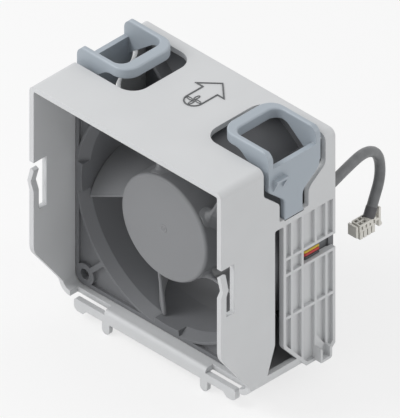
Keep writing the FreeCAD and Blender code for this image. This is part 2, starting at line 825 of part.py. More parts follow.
def latch_loop():
    """The finger loop: two arms and a grip bar, inside a rounded side profile."""
    front = from_front(LATCH_FRONT_Y)
    rear = from_front(LATCH_REAR_Y)
    far = HALF_WIDTH - LOOP_REACH
    low = below_top(LOOP_HEEL_BELOW)
    plan = [(far, front), (HALF_WIDTH, front), (HALF_WIDTH, rear), (far, rear)]
    ring = along_z(plan, low, LOOP_TOP, [LOOP_CORNER_R, 0, 0, LOOP_CORNER_R])
    hole = [
        (far + LOOP_BAR, front + LOOP_ARM),
        (HALF_WIDTH + OVER, front + LOOP_ARM),
        (HALF_WIDTH + OVER, rear - LOOP_ARM),
        (far + LOOP_BAR, rear - LOOP_ARM),
    ]
    ring = ring.cut(along_z(hole, low - OVER, LOOP_TOP + OVER, [LOOP_INNER_R, 0, 0, LOOP_INNER_R]))
    skirt = LOOP_TOP - LOOP_SKIRT
    side = along_y(
        [
            (far - OVER, skirt),
            (HALF_WIDTH - LOOP_HEEL_REACH, skirt),
            (INNER_X, low),
            (HALF_WIDTH, low),
            (HALF_WIDTH, LOOP_TOP),
            (far - OVER, LOOP_TOP),
        ],
        front - OVER,
        rear + OVER,
        [0, LOOP_HEEL_R, 0, 0, LOOP_SHOULDER_R, 0],
    )
    groove_plan = [
        (far + LOOP_GROOVE_WALL, front + LOOP_CORNER_R),
        (far + LOOP_BAR - LOOP_GROOVE_WALL, front + LOOP_CORNER_R),
        (far + LOOP_BAR - LOOP_GROOVE_WALL, rear - LOOP_CORNER_R),
        (far + LOOP_GROOVE_WALL, rear - LOOP_CORNER_R),
    ]
    groove = along_z(groove_plan, skirt - OVER, skirt + LOOP_GROOVE_DEPTH)
    return ring.makeFillet(LOOP_EDGE_R, rim_edges(ring)).common(side).cut(groove)


def rim_edges(ring):
    """The loop's top edges, apart from those on the wall side."""
    found = []
    for edge in ring.Edges:
        place = edge.BoundBox
        if place.ZMin > LOOP_TOP - TINY and place.XMin < HALF_WIDTH - TINY:
            found.append(edge)
    return found


def latch_tooth():
    """The hollow ramped tooth on the lever's outer face: a ledge and two ribs."""
    top = below_top(TOOTH_BELOW)
    low = top - TOOTH_HEIGHT
    front = from_front(LATCH_FRONT_Y + TOOTH_FROM_EDGE)
    rear = front + TOOTH_WIDTH
    root = HALF_WIDTH - WALL / 2
    out = HALF_WIDTH + TOOTH_REACH
    ramp = [(root, top), (out, top), (out, top - TOOTH_LIP), (HALF_WIDTH, low), (root, low)]
    block = along_y(ramp, front, rear)
    hollow = box(
        HALF_WIDTH,
        out + OVER,
        front + TOOTH_RIB,
        rear - TOOTH_RIB,
        low - OVER,
        top - TOOTH_LEDGE,
    )
    return block.cut(hollow)


def latch():
    """The right latch, one moulding."""
    return joined([latch_lever(), hinge_bar(0.0), latch_loop(), latch_tooth()])


# Fan frame


def flange(y0):
    """One square flange with rounded corners."""
    h = FLANGE_HALF
    pairs = [(-h, AXIS_Z - h), (h, AXIS_Z - h), (h, AXIS_Z + h), (-h, AXIS_Z + h)]
    return along_y(pairs, y0, y0 + FLANGE_THICKNESS, FLANGE_CORNER_R)


def corner_centre(sx, sz):
    """Screw hole position of one corner."""
    return sx * HOLE_HALF, AXIS_Z + sz * HOLE_HALF


def corners():
    """The four corner signs."""
    return [(sx, sz) for sx in (-1, 1) for sz in (-1, 1)]


def flange_pockets(front):
    """Lightening pockets round the corner bosses of the front or rear flange."""
    y0 = FAN_FRONT if front else FAN_REAR - FLANGE_POCKET_DEPTH
    y1 = y0 + FLANGE_POCKET_DEPTH
    h = FLANGE_HALF - FLANGE_BORDER
    pairs = [(-h, AXIS_Z - h), (h, AXIS_Z - h), (h, AXIS_Z + h), (-h, AXIS_Z + h)]
    field = along_y(pairs, y0 - OVER * front, y1 + OVER * (not front), FLANGE_CORNER_R - FLANGE_BORDER)
    keep = [rod(0, AXIS_Z, BELL_MOUTH_R + BELL_RING_WALL, y0 - 2 * OVER, y1 + 2 * OVER)]
    for sx, sz in corners():
        x, z = corner_centre(sx, sz)
        keep.append(rod(x, z, CORNER_BOSS_R, y0 - 2 * OVER, y1 + 2 * OVER))
        reach = HOLE_HALF * math.sqrt(2)
        web = box(0, reach, y0 - 2 * OVER, y1 + 2 * OVER, -CORNER_WEB / 2, CORNER_WEB / 2)
        web.rotate(Vector(0, 0, 0), Vector(0, 1, 0), -math.degrees(math.atan2(sz, sx)))
        web.translate(Vector(0, 0, AXIS_Z))
        keep.append(web)
    return field.cut(keep)


def bell_cone():
    """The flared intake mouth, which reaches its full size only towards the corners."""
    y0, y1 = FAN_FRONT, FAN_FRONT + BELL_DEPTH
    cone = turned([(0, y0), (BELL_MOUTH_R, y0), (THROAT_R, y1), (0, y1)])
    wedges = []
    reach = 2 * FLANGE_HALF
    low, high = BELL_FLAT_HALF_ANGLE, 90 - BELL_FLAT_HALF_ANGLE
    for quarter in range(4):
        tips = [(0, AXIS_Z)]
        for degrees in (90 * quarter + low, 90 * quarter + high):
            turn = math.radians(degrees)
            tips.append((reach * math.cos(turn), AXIS_Z + reach * math.sin(turn)))
        wedges.append(along_y(tips, y0, y1))
    return cone.common(wedges[0].multiFuse(wedges[1:]))


def barrel():
    """The barrel, drafted both ways from a parting line halfway along it."""
    ends = BARREL_R - BARREL_DRAFT
    middle = FAN_FRONT + FAN_DEPTH / 2
    inset = FLANGE_THICKNESS / 2
    start, end = FAN_FRONT + inset, FAN_REAR - inset
    return turned([(0, start), (ends, start), (BARREL_R, middle), (ends, end), (0, end)])


def air_bore():
    """The straight throat, which widens towards the outlet."""
    start, end = FAN_FRONT - OVER, FAN_REAR
    pairs = [(0, start), (THROAT_R, start), (THROAT_R, in_fan(THROAT_END)), (OUTLET_R, end)]
    pairs += [(OUTLET_R, end + OVER), (0, end + OVER)]
    return turned(pairs)


def lead_pocket():
    """The pocket in the barrel's side where the leads go in."""
    reach = LEAD_R + LEAD_POCKET_GAP
    y = from_front(LEAD_TURN_Y)
    high = LEAD_LOW + (LEAD_COUNT - 1) * LEAD_PITCH
    floor = BARREL_R - LEAD_POCKET_DEPTH
    return box(floor, BARREL_R + OVER, y - reach, y + reach, LEAD_LOW - reach, high + reach)


def barrel_gussets():
    """Ribs that tie each corner of the flanges to the barrel."""
    inner = BARREL_R - BARREL_DRAFT - BARREL_WALL / 3
    outer = HOLE_HALF * math.sqrt(2) - FAN_HOLE_R - GUSSET_BACK
    inset = FLANGE_THICKNESS / 2
    ribs = []
    front_span = (FAN_FRONT + inset, FAN_FRONT + GUSSET_LENGTH)
    rear_span = (FAN_REAR - GUSSET_LENGTH, FAN_REAR - inset)
    for y0, y1 in (front_span, rear_span):
        rib = box(inner, outer, y0, y1, -GUSSET_THICKNESS / 2, GUSSET_THICKNESS / 2)
        for sx, sz in corners():
            copy = rib.copy()
            copy.rotate(Vector(0, 0, 0), Vector(0, 1, 0), -math.degrees(math.atan2(sz, sx)))
            copy.translate(Vector(0, 0, AXIS_Z))
            ribs.append(copy)
    return ribs


def strut():
    """One tilted stator vane from the motor base to the barrel."""
    root = HUB_R - BASE_WALL / 2
    length = OUTLET_R + STRUT_ROOT - root
    depth = FAN_DEPTH - STRUT_START - STRUT_INSET
    vane = Part.makeBox(STRUT_THICKNESS, depth, length)
    vane.translate(Vector(-STRUT_THICKNESS / 2, -depth / 2, 0))
    vane.rotate(Vector(0, 0, 0), Vector(0, 0, 1), STRUT_TILT)
    vane.translate(Vector(0, in_fan(STRUT_START + depth / 2), AXIS_Z + root))
    return vane


def motor_base():
    """The cup behind the impeller that carries the bearing tube and the board."""
    start, end = in_fan(BASE_START), FAN_REAR - BASE_INSET
    floor = end - BASE_FLOOR
    seat = in_fan(REAR_BEARING_START + BEARING_WIDTH - TUBE_SEAT)
    stop = in_fan(REAR_BEARING_START + BEARING_WIDTH)
    opening = CLIP_R + CLIP_ROOM
    pairs = [
        (HUB_R - BASE_WALL, start),
        (HUB_R, start),
        (HUB_R, end - BASE_CHAMFER),
        (HUB_R - BASE_CHAMFER, end),
        (opening, end),
        (opening, stop),
        (TUBE_OUTER_R, stop),
        (TUBE_OUTER_R, seat),
        (TUBE_OUTER_R + BASE_WALL, seat),
        (TUBE_OUTER_R + BASE_WALL, floor),
        (HUB_R - BASE_WALL, floor),
    ]
    posts = []
    for i in range(BOARD_POST_COUNT):
        turn = math.radians(360.0 * i / BOARD_POST_COUNT + BOARD_POST_PHASE)
        x = BOARD_POST_PITCH_R * math.cos(turn)
        z = AXIS_Z + BOARD_POST_PITCH_R * math.sin(turn)
        posts.append(rod(x, z, BOARD_POST_R, in_fan(BOARD_START + BOARD_THICKNESS), floor + BASE_FLOOR / 2))
    return [turned(pairs)] + posts


def lead_notch():
    """The hole in the rear flange where the grommet sits."""
    return rod(CABLE_X, CABLE_Z, CABLE_R + GROMMET_LIP, FAN_REAR - FLANGE_THICKNESS, FAN_REAR + OVER)


def fan_frame():
    """The fan's frame: barrel, flanges, vanes and motor base in one moulding."""
    body = joined([barrel(), flange(FAN_FRONT), flange(FAN_REAR - FLANGE_THICKNESS)] + barrel_gussets())
    tools = [air_bore(), bell_cone(), flange_pockets(True), flange_pockets(False)]
    tools += [lead_notch(), lead_pocket()]
    for sx, sz in corners():
        x, z = corner_centre(sx, sz)
        tools.append(rod(x, z, FAN_HOLE_R, FAN_FRONT - OVER, FAN_REAR + OVER))
    body = cut(body, tools)
    hollow = rod(0, AXIS_Z, HUB_R - BASE_WALL, FAN_FRONT, FAN_REAR + OVER)
    vanes = [vane.cut(hollow) for vane in spun(strut(), STRUT_COUNT, STRUT_PHASE)]
    return joined([body] + vanes + motor_base())


# Impeller


def root_flare(place, side, thickness):
    """A flank point moved out by the root fillet, less the further it is from the hub."""
    moved = place + side * thickness
    reach = 0.0
    for _ in range(2):
        there = moved + side * reach
        gap = math.hypot(there.x, there.z - AXIS_Z) - HUB_R
        left = min(max(1.0 - gap / BLADE_FILLET, 0.0), 1.0)
        reach = BLADE_FILLET * (1.0 - math.sqrt(1.0 - left**2))
    return moved + side * reach


def blade_section(span):
    """One flat section of a blade at this distance from the axis: two arcs, a nose and a tail."""
    out = span - HUB_R
    start = Vector(LEADING_ROOT + LEADING_SWEEP * out, in_fan(BLADE_FRONT + BLADE_NOSE_R), AXIS_Z + span)
    end = Vector(TRAILING_ROOT + TRAILING_SWEEP * out, in_fan(BLADE_REAR), AXIS_Z + span)
    along = (end - start).normalize()
    side = Vector(along.y, -along.x, 0)
    middle = (start + end) * 0.5 + side * (BLADE_CAMBER + BLADE_CAMBER_GAIN * out)
    places = ((start, BLADE_NOSE_R), (middle, BLADE_THICKNESS / 2), (end, BLADE_TAIL / 2))
    upper = [root_flare(place, side, half) for place, half in places]
    lower = [root_flare(place, side * -1, half) for place, half in places]
    front = root_flare(start, along * -1, BLADE_NOSE_R)
    edges = [
        Part.Arc(*upper).toShape(),
        Part.LineSegment(upper[2], lower[2]).toShape(),
        Part.Arc(*reversed(lower)).toShape(),
        Part.Arc(lower[0], front, upper[0]).toShape(),
    ]
    return Part.Wire(edges)


def blade():
    """One swept, cambered blade with a filleted root, from inside the hub's wall to its tip."""
    spans = [HUB_R + BLADE_FILLET * step for step in BLADE_FILLET_STEPS] + [THROAT_R + OVER]
    loft = Part.makeLoft([blade_section(span) for span in spans], True, True)
    y0, y1 = in_fan(0.0), in_fan(HUB_REAR)
    outer = rod(0, AXIS_Z, BLADE_TIP_R, y0, y1)
    inner = rod(0, AXIS_Z, HUB_R - HUB_WALL / 2, y0 - OVER, y1 + OVER)
    return loft.common(outer.cut(inner))


def hub():
    """The impeller's cup with a rounded front edge and a boss for the shaft."""
    y0 = in_fan(-HUB_PROUD)
    y1 = in_fan(HUB_REAR)
    inner = y0 + HUB_WALL
    points = [
        Vector(SHAFT_R, in_fan(SHAFT_START), AXIS_Z),
        Vector(0, in_fan(SHAFT_START), AXIS_Z),
        Vector(0, y0, AXIS_Z),
        Vector(HUB_R, y0, AXIS_Z),
        Vector(HUB_R, y1, AXIS_Z),
        Vector(HUB_R - HUB_WALL, y1, AXIS_Z),
        Vector(HUB_R - HUB_WALL, inner, AXIS_Z),
        Vector(HUB_BOSS_R, inner, AXIS_Z),
        Vector(HUB_BOSS_R, in_fan(HUB_BOSS_END), AXIS_Z),
        Vector(SHAFT_R, in_fan(HUB_BOSS_END), AXIS_Z),
    ]
    radii = [0, 0, 0, HUB_EDGE_R, 0, 0, 0, 0, 0, 0]
    return outline(points, radii).revolve(Vector(0, 0, AXIS_Z), Vector(0, 1, 0), 360)


def impeller():
    """Hub and blades, one moulding."""
    return joined([hub()] + spun(blade(), BLADE_COUNT, BLADE_PHASE))


# Motor


def ring(inner_r, outer_r, start, end):
    """A plain ring about the axis, between two distances behind the fan's front face."""
    y0, y1 = in_fan(start), in_fan(end)
    return turned([(inner_r, y0), (outer_r, y0), (outer_r, y1), (inner_r, y1)])


def rotor_yoke():
    """The steel cup pressed into the hub."""
    inner = HUB_WALL - HUB_PROUD
    return turned(
        [
            (HUB_BOSS_R, in_fan(inner)),
            (YOKE_R, in_fan(inner)),
            (YOKE_R, in_fan(YOKE_END)),
            (MAGNET_R, in_fan(YOKE_END)),
            (MAGNET_R, in_fan(inner + YOKE_WALL)),
            (HUB_BOSS_R, in_fan(inner + YOKE_WALL)),
        ]
    )


def stator_core():
    """The laminated core: a ring and four T-shaped poles."""
    y0, y1 = in_fan(CORE_START), in_fan(CORE_END)
    centre = rod(0, AXIS_Z, TUBE_OUTER_R + CORE_RING, y0, y1)
    neck = box(0, CORE_R - POLE_SHOE / 2, y0, y1, -POLE_NECK / 2, POLE_NECK / 2)
    neck.translate(Vector(0, 0, AXIS_Z))
    shoes = rod(0, AXIS_Z, CORE_R, y0, y1).cut(rod(0, AXIS_Z, CORE_R - POLE_SHOE, y0, y1))
    gap = box(0, CORE_R + OVER, y0, y1, -POLE_SHOE_SPLIT / 2, POLE_SHOE_SPLIT / 2)
    gap.translate(Vector(0, 0, AXIS_Z))
    shoes = shoes.cut(spun(gap, POLE_COUNT, 180.0 / POLE_COUNT))
    body = joined([centre] + spun(neck, POLE_COUNT) + shoes.Solids)
    return body.cut(rod(0, AXIS_Z, TUBE_OUTER_R, y0 - OVER, y1 + OVER))


def coil(inner_offset, thickness, inset):
    """A closed band wound round one pole neck."""
    y0, y1 = in_fan(CORE_START), in_fan(CORE_END)
    x0 = TUBE_OUTER_R + CORE_RING + inset
    x1 = CORE_R - POLE_SHOE - inset
    a = POLE_NECK / 2 + inner_offset
    b = a + thickness
    end = COIL_END_TURN * thickness / COIL_THICKNESS
    outer = box(x0, x1, y0 - inner_offset - end, y1 + inner_offset + end, -b, b)
    inner = box(x0 - OVER, x1 + OVER, y0 - inner_offset, y1 + inner_offset, -a, a)
    band = outer.cut(inner)
    band.translate(Vector(0, 0, AXIS_Z))
    return band


def coil_trim():
    """Space that a winding may fill: its own sector between the core's ring and the shoes."""
    y0, y1 = in_fan(CORE_START - COIL_ROOM), in_fan(CORE_END + COIL_ROOM)
    far, half = CORE_R * 2, CORE_R * COIL_SECTOR
    sector = along_y([(TUBE_OUTER_R, AXIS_Z), (far, AXIS_Z - half), (far, AXIS_Z + half)], y0, y1)
    room = rod(0, AXIS_Z, CORE_R - POLE_SHOE - COIL_CLEAR, y0, y1)
    centre = rod(0, AXIS_Z, TUBE_OUTER_R + CORE_RING + COIL_CLEAR, y0 - OVER, y1 + OVER)
    return room.cut(centre).common(sector)


def bobbins():
    """Insulators between the core and its windings, one on each pole."""
    one = coil(0, BOBBIN_WALL, COIL_CLEAR).common(coil_trim())
    return Part.makeCompound(spun(one, POLE_COUNT))


def windings():
    """Copper windings, one on each pole."""
    one = coil(BOBBIN_WALL, COIL_THICKNESS, COIL_INSET).common(coil_trim())
    return Part.makeCompound(spun(one, POLE_COUNT))


def bearing_tube():
    """The brass tube that holds both bearings, with a step for each."""
    inner_step = FRONT_BEARING_START + BEARING_WIDTH
    lip = BEARING_R - TUBE_LIP
    start, end = in_fan(TUBE_START), in_fan(REAR_BEARING_START + BEARING_WIDTH)
    return turned(
        [
            (BEARING_R, start),
            (TUBE_OUTER_R, start),
            (TUBE_OUTER_R, end),
            (BEARING_R, end),
            (BEARING_R, in_fan(REAR_BEARING_START)),
            (lip, in_fan(REAR_BEARING_START)),
            (lip, in_fan(inner_step)),
            (BEARING_R, in_fan(inner_step)),
        ]
    )


def outer_race(start):
    """The fixed ring of a bearing with a thin shield at each end."""
    end = start + BEARING_WIDTH
    inner = BEARING_R - BEARING_RACE
    shield_r = SHAFT_R + BEARING_RACE + BEARING_SHIELD_GAP
    return turned(
        [
            (shield_r, in_fan(start)),
            (BEARING_R, in_fan(start)),
            (BEARING_R, in_fan(end)),
            (shield_r, in_fan(end)),
            (shield_r, in_fan(end - BEARING_SHIELD)),
            (inner, in_fan(end - BEARING_SHIELD)),
            (inner, in_fan(start + BEARING_SHIELD)),
            (shield_r, in_fan(start + BEARING_SHIELD)),
        ]
    )


def inner_race(start):
    """The turning ring of a bearing, pressed on the shaft."""
    return ring(SHAFT_R, SHAFT_R + BEARING_RACE, start, start + BEARING_WIDTH)


def bearing_balls():
    """The balls of both bearings."""
    pitch_r = (SHAFT_R + BEARING_R) / 2
    balls = []
    for start in (FRONT_BEARING_START, REAR_BEARING_START):
        middle = in_fan(start + BEARING_WIDTH / 2)
        ball = Part.makeSphere(BALL_R, Vector(pitch_r, middle, AXIS_Z))
        balls += spun(ball, BALL_COUNT)
    return Part.makeCompound(balls)


def retaining_clip():
    """The split washer snapped on the shaft behind the rear bearing."""
    start = REAR_BEARING_START + BEARING_WIDTH + CLIP_GAP
    clip = ring(SHAFT_R, CLIP_R, start, start + CLIP_THICKNESS)
    y = in_fan(start)
    mouth = box(0, CLIP_R + OVER, y - OVER, y + OVER, -CLIP_MOUTH / 2, CLIP_MOUTH / 2)
    mouth.translate(Vector(0, 0, AXIS_Z))
    return clip.cut(mouth)


def shaft():
    """The steel shaft with a chamfered rear end."""
    y0, y1 = in_fan(SHAFT_START), in_fan(SHAFT_END)
    tip_r = SHAFT_R - SHAFT_CHAMFER
    return turned([(0, y0), (SHAFT_R, y0), (SHAFT_R, y1 - SHAFT_CHAMFER), (tip_r, y1), (0, y1)])


def circuit_board():
    """The round drive board on its three posts."""
    start = in_fan(BOARD_START)
    board = rod(0, AXIS_Z, BOARD_R, start, start + BOARD_THICKNESS)
    y0, y1 = start - OVER, start + OVER * 2
    low = AXIS_Z - BOARD_R
    flat = box(-BOARD_R, BOARD_R, y0, y1, low - OVER, low + BOARD_FLAT)
    return board.cut([rod(0, AXIS_Z, TUBE_OUTER_R + BOARD_CLEAR, y0, y1), flat])


def drive_chips():
    """The driver, the sensor and two capacitors on the board's rear face."""
    y0 = in_fan(BOARD_START + BOARD_THICKNESS)
    y1 = y0 + CHIP_HEIGHT
    half = CHIP_SIZE / 2
    mid_r = (TUBE_OUTER_R + BOARD_R) / 2
    driver = box(-mid_r - half, -mid_r + half, y0, y1, AXIS_Z - half, AXIS_Z + half)
    wide, high = SENSOR_WIDTH / 2, SENSOR_LENGTH / 2
    top = AXIS_Z + mid_r
    sensor = box(-wide, wide, y0, y0 + SENSOR_HEIGHT, top - high, top + high)
    capacitors = []
    for dz in (-CAPACITOR_PITCH / 2, CAPACITOR_PITCH / 2):
        capacitors.append(rod(mid_r, AXIS_Z + dz, CAPACITOR_R, y0, y0 + CAPACITOR_HEIGHT))
    return Part.makeCompound([driver, sensor] + capacitors)


# Leads, cable and connector


def route_wire(points, radius=None):
    """Straight runs joined by tangent arcs, and the arcs' radii."""
    edges = []
    radii = []
    last = points[0]
    for i in range(1, len(points) - 1):
        before, corner, after = points[i - 1], points[i], points[i + 1]
        turn = math.pi - (before - corner).getAngle(after - corner)
        shorter = min(before.distanceToPoint(corner), after.distanceToPoint(corner))
        bend = radius or CABLE_TURN_SHARE * shorter / math.tan(turn / 2)
        start, middle, end = corner_cut(before, corner, after, bend)
        edges.append(Part.LineSegment(last, start).toShape())
        edges.append(Part.Arc(start, middle, end).toShape())
        radii.append(round(bend, 1))
        last = end
    edges.append(Part.LineSegment(last, points[-1]).toShape())
    return Part.Wire(edges), radii


def tube(points, tube_r, bend=None):
    """A round cord along a route, with a check of its volume."""
    path, radii = route_wire(points, bend)
    start = (points[1] - points[0]).normalize()
    section = Part.Wire([Part.Circle(points[0], start, tube_r).toShape()])
    solid = path.makePipeShell([section], True, False)
    share = solid.Volume / (math.pi * tube_r**2 * path.Length)
    print("cord length", round(path.Length, 1), "radii", radii, "volume share", round(share, 4))
    return solid


def lead_wires():
    """Four leads that lie in the side tray and turn into the barrel's pocket."""
    floor = BARREL_R - LEAD_POCKET_DEPTH
    start, turn = from_front(LEAD_START_Y), from_front(LEAD_TURN_Y)
    leads = []
    for i in range(LEAD_COUNT):
        z = LEAD_LOW + i * LEAD_PITCH
        points = [Vector(LEAD_X, start, z), Vector(LEAD_X, turn, z), Vector(floor, turn, z)]
        leads.append(tube(points, LEAD_R))
    return Part.makeCompound(leads)


def cable_route():
    """The cable's points, the first on the end of the grommet's tail."""
    toward = (CABLE_POINTS[0] - CABLE_EXIT).normalize()
    return [CABLE_EXIT + toward * GROMMET_TAIL] + list(CABLE_POINTS)


def cable_grommet():
    """The rubber grommet in the rear flange, with a short tail that leans with the cable."""
    hole_r = CABLE_R + GROMMET_LIP
    body = rod(CABLE_X, CABLE_Z, hole_r, FAN_REAR - FLANGE_THICKNESS, FAN_REAR)
    lip = rod(CABLE_X, CABLE_Z, hole_r + GROMMET_LIP, FAN_REAR, FAN_REAR + GROMMET_FLANGE)
    toward = (CABLE_POINTS[0] - CABLE_EXIT).normalize()
    tail = Part.makeCone(hole_r, CABLE_R + GROMMET_TAIL_RIM, GROMMET_TAIL, CABLE_EXIT, toward)
    return joined([body, lip, tail])


def connector_centre():
    """Middle of the connector's top face, which the cable's end meets off centre."""
    end = CABLE_POINTS[-1]
    toward = (end - CABLE_POINTS[-2]).normalize()
    return Vector(end.x, end.y - CONNECTOR_SHIFT, end.z - CABLE_R * math.sqrt(1 - toward.z**2))


def cell_places():
    """Plan positions of the connector's cells, row by row."""
    c = connector_centre()
    places = []
    for row in range(CELL_ROWS):
        for column in range(CELL_COLUMNS):
            x = c.x + (row - (CELL_ROWS - 1) / 2) * CELL_ROW_PITCH
            y = c.y + (column - (CELL_COLUMNS - 1) / 2) * CELL_PITCH
            places.append((x, y))
    return places


def upright(x, y, width, depth, z0, z1):
    """A block centred on a plan position."""
    return box(x - width / 2, x + width / 2, y - depth / 2, y + depth / 2, z0, z1)


def end_plate():
    """The upright plate at the connector's front end, on a short stem."""
    c = connector_centre()
    front = c.y - CONNECTOR_LENGTH / 2
    y0 = front - END_PLATE_STEM - END_PLATE_THICKNESS
    half = END_PLATE_WIDTH / 2
    low = c.z - END_PLATE_HEIGHT
    plate = box(c.x - half, c.x + half, y0, y0 + END_PLATE_THICKNESS, low, c.z)
    stem = box(c.x - half / 2, c.x + half / 2, y0, front + OVER / 2, low, c.z - CELL_DEPTH)
    return [plate, stem]


def plug_arm():
    """The springy arm at the connector's rear end, with a barb at its foot."""
    c = connector_centre()
    rear = c.y + CONNECTOR_LENGTH / 2
    y0 = rear + PLUG_ARM_GAP
    y1 = y0 + PLUG_ARM_THICKNESS
    high, low = c.z + PLUG_ARM_RISE, c.z - PLUG_ARM_DROP
    bridge = c.z - CONNECTOR_BLOCK
    pairs = [
        (rear - OVER / 2, bridge),
        (y0, bridge),
        (y0, low),
        (y1 + PLUG_ARM_BARB / 3, low),
        (y1 + PLUG_ARM_BARB, low + PLUG_ARM_BARB),
        (y1, low + 3 * PLUG_ARM_BARB),
        (y1, high),
        (y0, high),
        (y0, bridge + PLUG_ARM_THICKNESS),
        (rear - OVER / 2, bridge + PLUG_ARM_THICKNESS),
    ]
    half = PLUG_ARM_WIDTH / 2
    tip_r = PLUG_ARM_THICKNESS / 3
    return along_x(pairs, c.x - half, c.x + half, [0, 0, 0, 0, 0, 0, tip_r, tip_r, 0, 0])


def connector_body():
    """The two-row connector: a block of cells over a comb of legs, an end plate and an arm."""
    c = connector_centre()
    low, middle = c.z - CONNECTOR_HEIGHT, c.z - CONNECTOR_BLOCK
    half_x, half_y = CONNECTOR_THICKNESS / 2, CONNECTOR_LENGTH / 2
    plan = [
        (c.x - half_x, c.y - half_y),
        (c.x + half_x, c.y - half_y),
        (c.x + half_x, c.y + half_y),
        (c.x - half_x, c.y + half_y),
    ]
    block = along_z(plan, middle, c.z, CONNECTOR_CORNER_R)
    core = upright(c.x, c.y, LEG_CORE, CONNECTOR_LENGTH - CELL_PITCH, low + LEG_SIZE, middle + OVER / 2)
    legs = []
    cells = []
    for x, y in cell_places():
        out = math.copysign(LEG_SPREAD / 2 - LEG_SIZE / 2, x - c.x)
        legs.append(upright(c.x + out, y, LEG_SIZE, LEG_SIZE, low, middle + OVER / 2))
        cells.append(upright(x, y, CELL_SIZE, CELL_SIZE, c.z - CELL_DEPTH, c.z + OVER))
        cells.append(upright(c.x + out, y, TERMINAL_SIZE, TERMINAL_SIZE, low - OVER, low + TERMINAL_REACH))
        if x > c.x:
            top = c.z - WINDOW_BELOW
            middle_x = c.x + half_x - WINDOW_DEPTH + OVER / 2
            cells.append(upright(middle_x, y, OVER, WINDOW_WIDTH, top - WINDOW_HEIGHT, top))
    body = joined([block, core, plug_arm()] + end_plate() + legs).cut(cells)
    end = CABLE_POINTS[-1]
    toward = (end - CABLE_POINTS[-2]).normalize()
    neck = Part.makeCylinder(CONNECTOR_NECK_R, CONNECTOR_NECK_LENGTH, end, toward)
    inside = box(c.x - half_x, c.x + half_x, c.y - half_y, c.y + half_y, middle, end.z + CABLE_R)
    return joined([body, neck.common(inside)])


def connector_terminals():
    """The metal terminals, one in the foot of each leg."""
    c = connector_centre()
    low = c.z - CONNECTOR_HEIGHT
    blocks = []
    for x, y in cell_places():
        out = math.copysign(LEG_SPREAD / 2 - LEG_SIZE / 2, x - c.x)
        blocks.append(upright(c.x + out, y, TERMINAL_SIZE, TERMINAL_SIZE, low, low + TERMINAL_REACH))
    return Part.makeCompound(blocks)


def main():
    """Builds and writes every sub-part."""
    os.makedirs("parts", exist_ok=True)
    save("carrier", carrier())
    right = latch()
    save("latch_right", right)
    save("latch_left", mirrored(right))
    save("fan_frame", fan_frame())
    save("impeller", impeller())
    save("rotor_yoke", rotor_yoke())
    save("rotor_magnet", ring(MAGNET_R - MAGNET_THICKNESS, MAGNET_R, MAGNET_START, MAGNET_END))
    save("shaft", shaft())
    save("retaining_clip", retaining_clip())
    save("bearing_tube", bearing_tube())
    save("front_bearing_outer", outer_race(FRONT_BEARING_START))
    save("front_bearing_inner", inner_race(FRONT_BEARING_START))
    save("rear_bearing_outer", outer_race(REAR_BEARING_START))
    save("rear_bearing_inner", inner_race(REAR_BEARING_START))
    save("bearing_balls", bearing_balls())
    save("stator_core", stator_core())
    save("stator_bobbins", bobbins())
    save("stator_windings", windings())
    save("circuit_board", circuit_board())
    save("drive_chips", drive_chips())
    save("lead_wires", lead_wires())
    save("cable_grommet", cable_grommet())
    save("fan_cable", tube(cable_route(), CABLE_R))
    save("connector_body", connector_body())
    save("connector_terminals", connector_terminals())


main()
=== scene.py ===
# %% [markdown]
# A server fan module: a moulded carrier with two squeeze latches, and a square axial fan in it.
# Every rigid piece of it is already a solid, so the solids come first and stay where they are.
# This script gives each one its finish. Then it adds what a drawing shows but a solid model need
# not carry: the soft cable, the signs on the top wall and the gate mark on the hub.

# %% Frame
import math

import bpy
import numpy as np
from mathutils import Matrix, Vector


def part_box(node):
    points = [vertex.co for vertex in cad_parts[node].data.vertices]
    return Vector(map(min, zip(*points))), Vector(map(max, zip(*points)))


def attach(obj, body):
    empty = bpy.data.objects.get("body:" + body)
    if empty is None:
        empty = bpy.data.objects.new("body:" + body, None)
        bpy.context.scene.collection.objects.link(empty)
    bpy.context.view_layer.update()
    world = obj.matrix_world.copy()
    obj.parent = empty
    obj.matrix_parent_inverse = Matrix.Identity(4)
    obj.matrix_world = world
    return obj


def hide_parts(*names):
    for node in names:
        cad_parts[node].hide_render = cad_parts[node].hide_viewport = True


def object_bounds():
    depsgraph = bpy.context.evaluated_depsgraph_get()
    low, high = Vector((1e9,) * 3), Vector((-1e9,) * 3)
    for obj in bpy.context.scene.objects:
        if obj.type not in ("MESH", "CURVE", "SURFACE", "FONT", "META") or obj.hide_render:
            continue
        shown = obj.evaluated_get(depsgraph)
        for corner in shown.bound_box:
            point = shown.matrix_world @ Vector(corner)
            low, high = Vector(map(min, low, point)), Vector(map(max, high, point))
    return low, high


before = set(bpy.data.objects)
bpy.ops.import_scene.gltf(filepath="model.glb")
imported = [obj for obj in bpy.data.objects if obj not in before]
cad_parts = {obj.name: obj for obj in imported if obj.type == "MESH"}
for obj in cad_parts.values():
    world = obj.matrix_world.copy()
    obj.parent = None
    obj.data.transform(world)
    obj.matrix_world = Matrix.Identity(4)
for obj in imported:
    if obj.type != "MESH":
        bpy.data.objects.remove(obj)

MM = 0.001
cad_bounds = [list(corner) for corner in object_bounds()]
print("box of the solids", cad_bounds)

# %% [markdown]
# On the real module the signs and the gate mark are part of moulded walls, so their places follow
# the walls. They could be typed in as numbers, but a changed solid would then leave them behind.
# They are read off the solids' boxes instead: the carrier's box ends at its top wall and at its
# front rim, the middle of the fan frame's box is the axis, and the impeller starts at the hub.

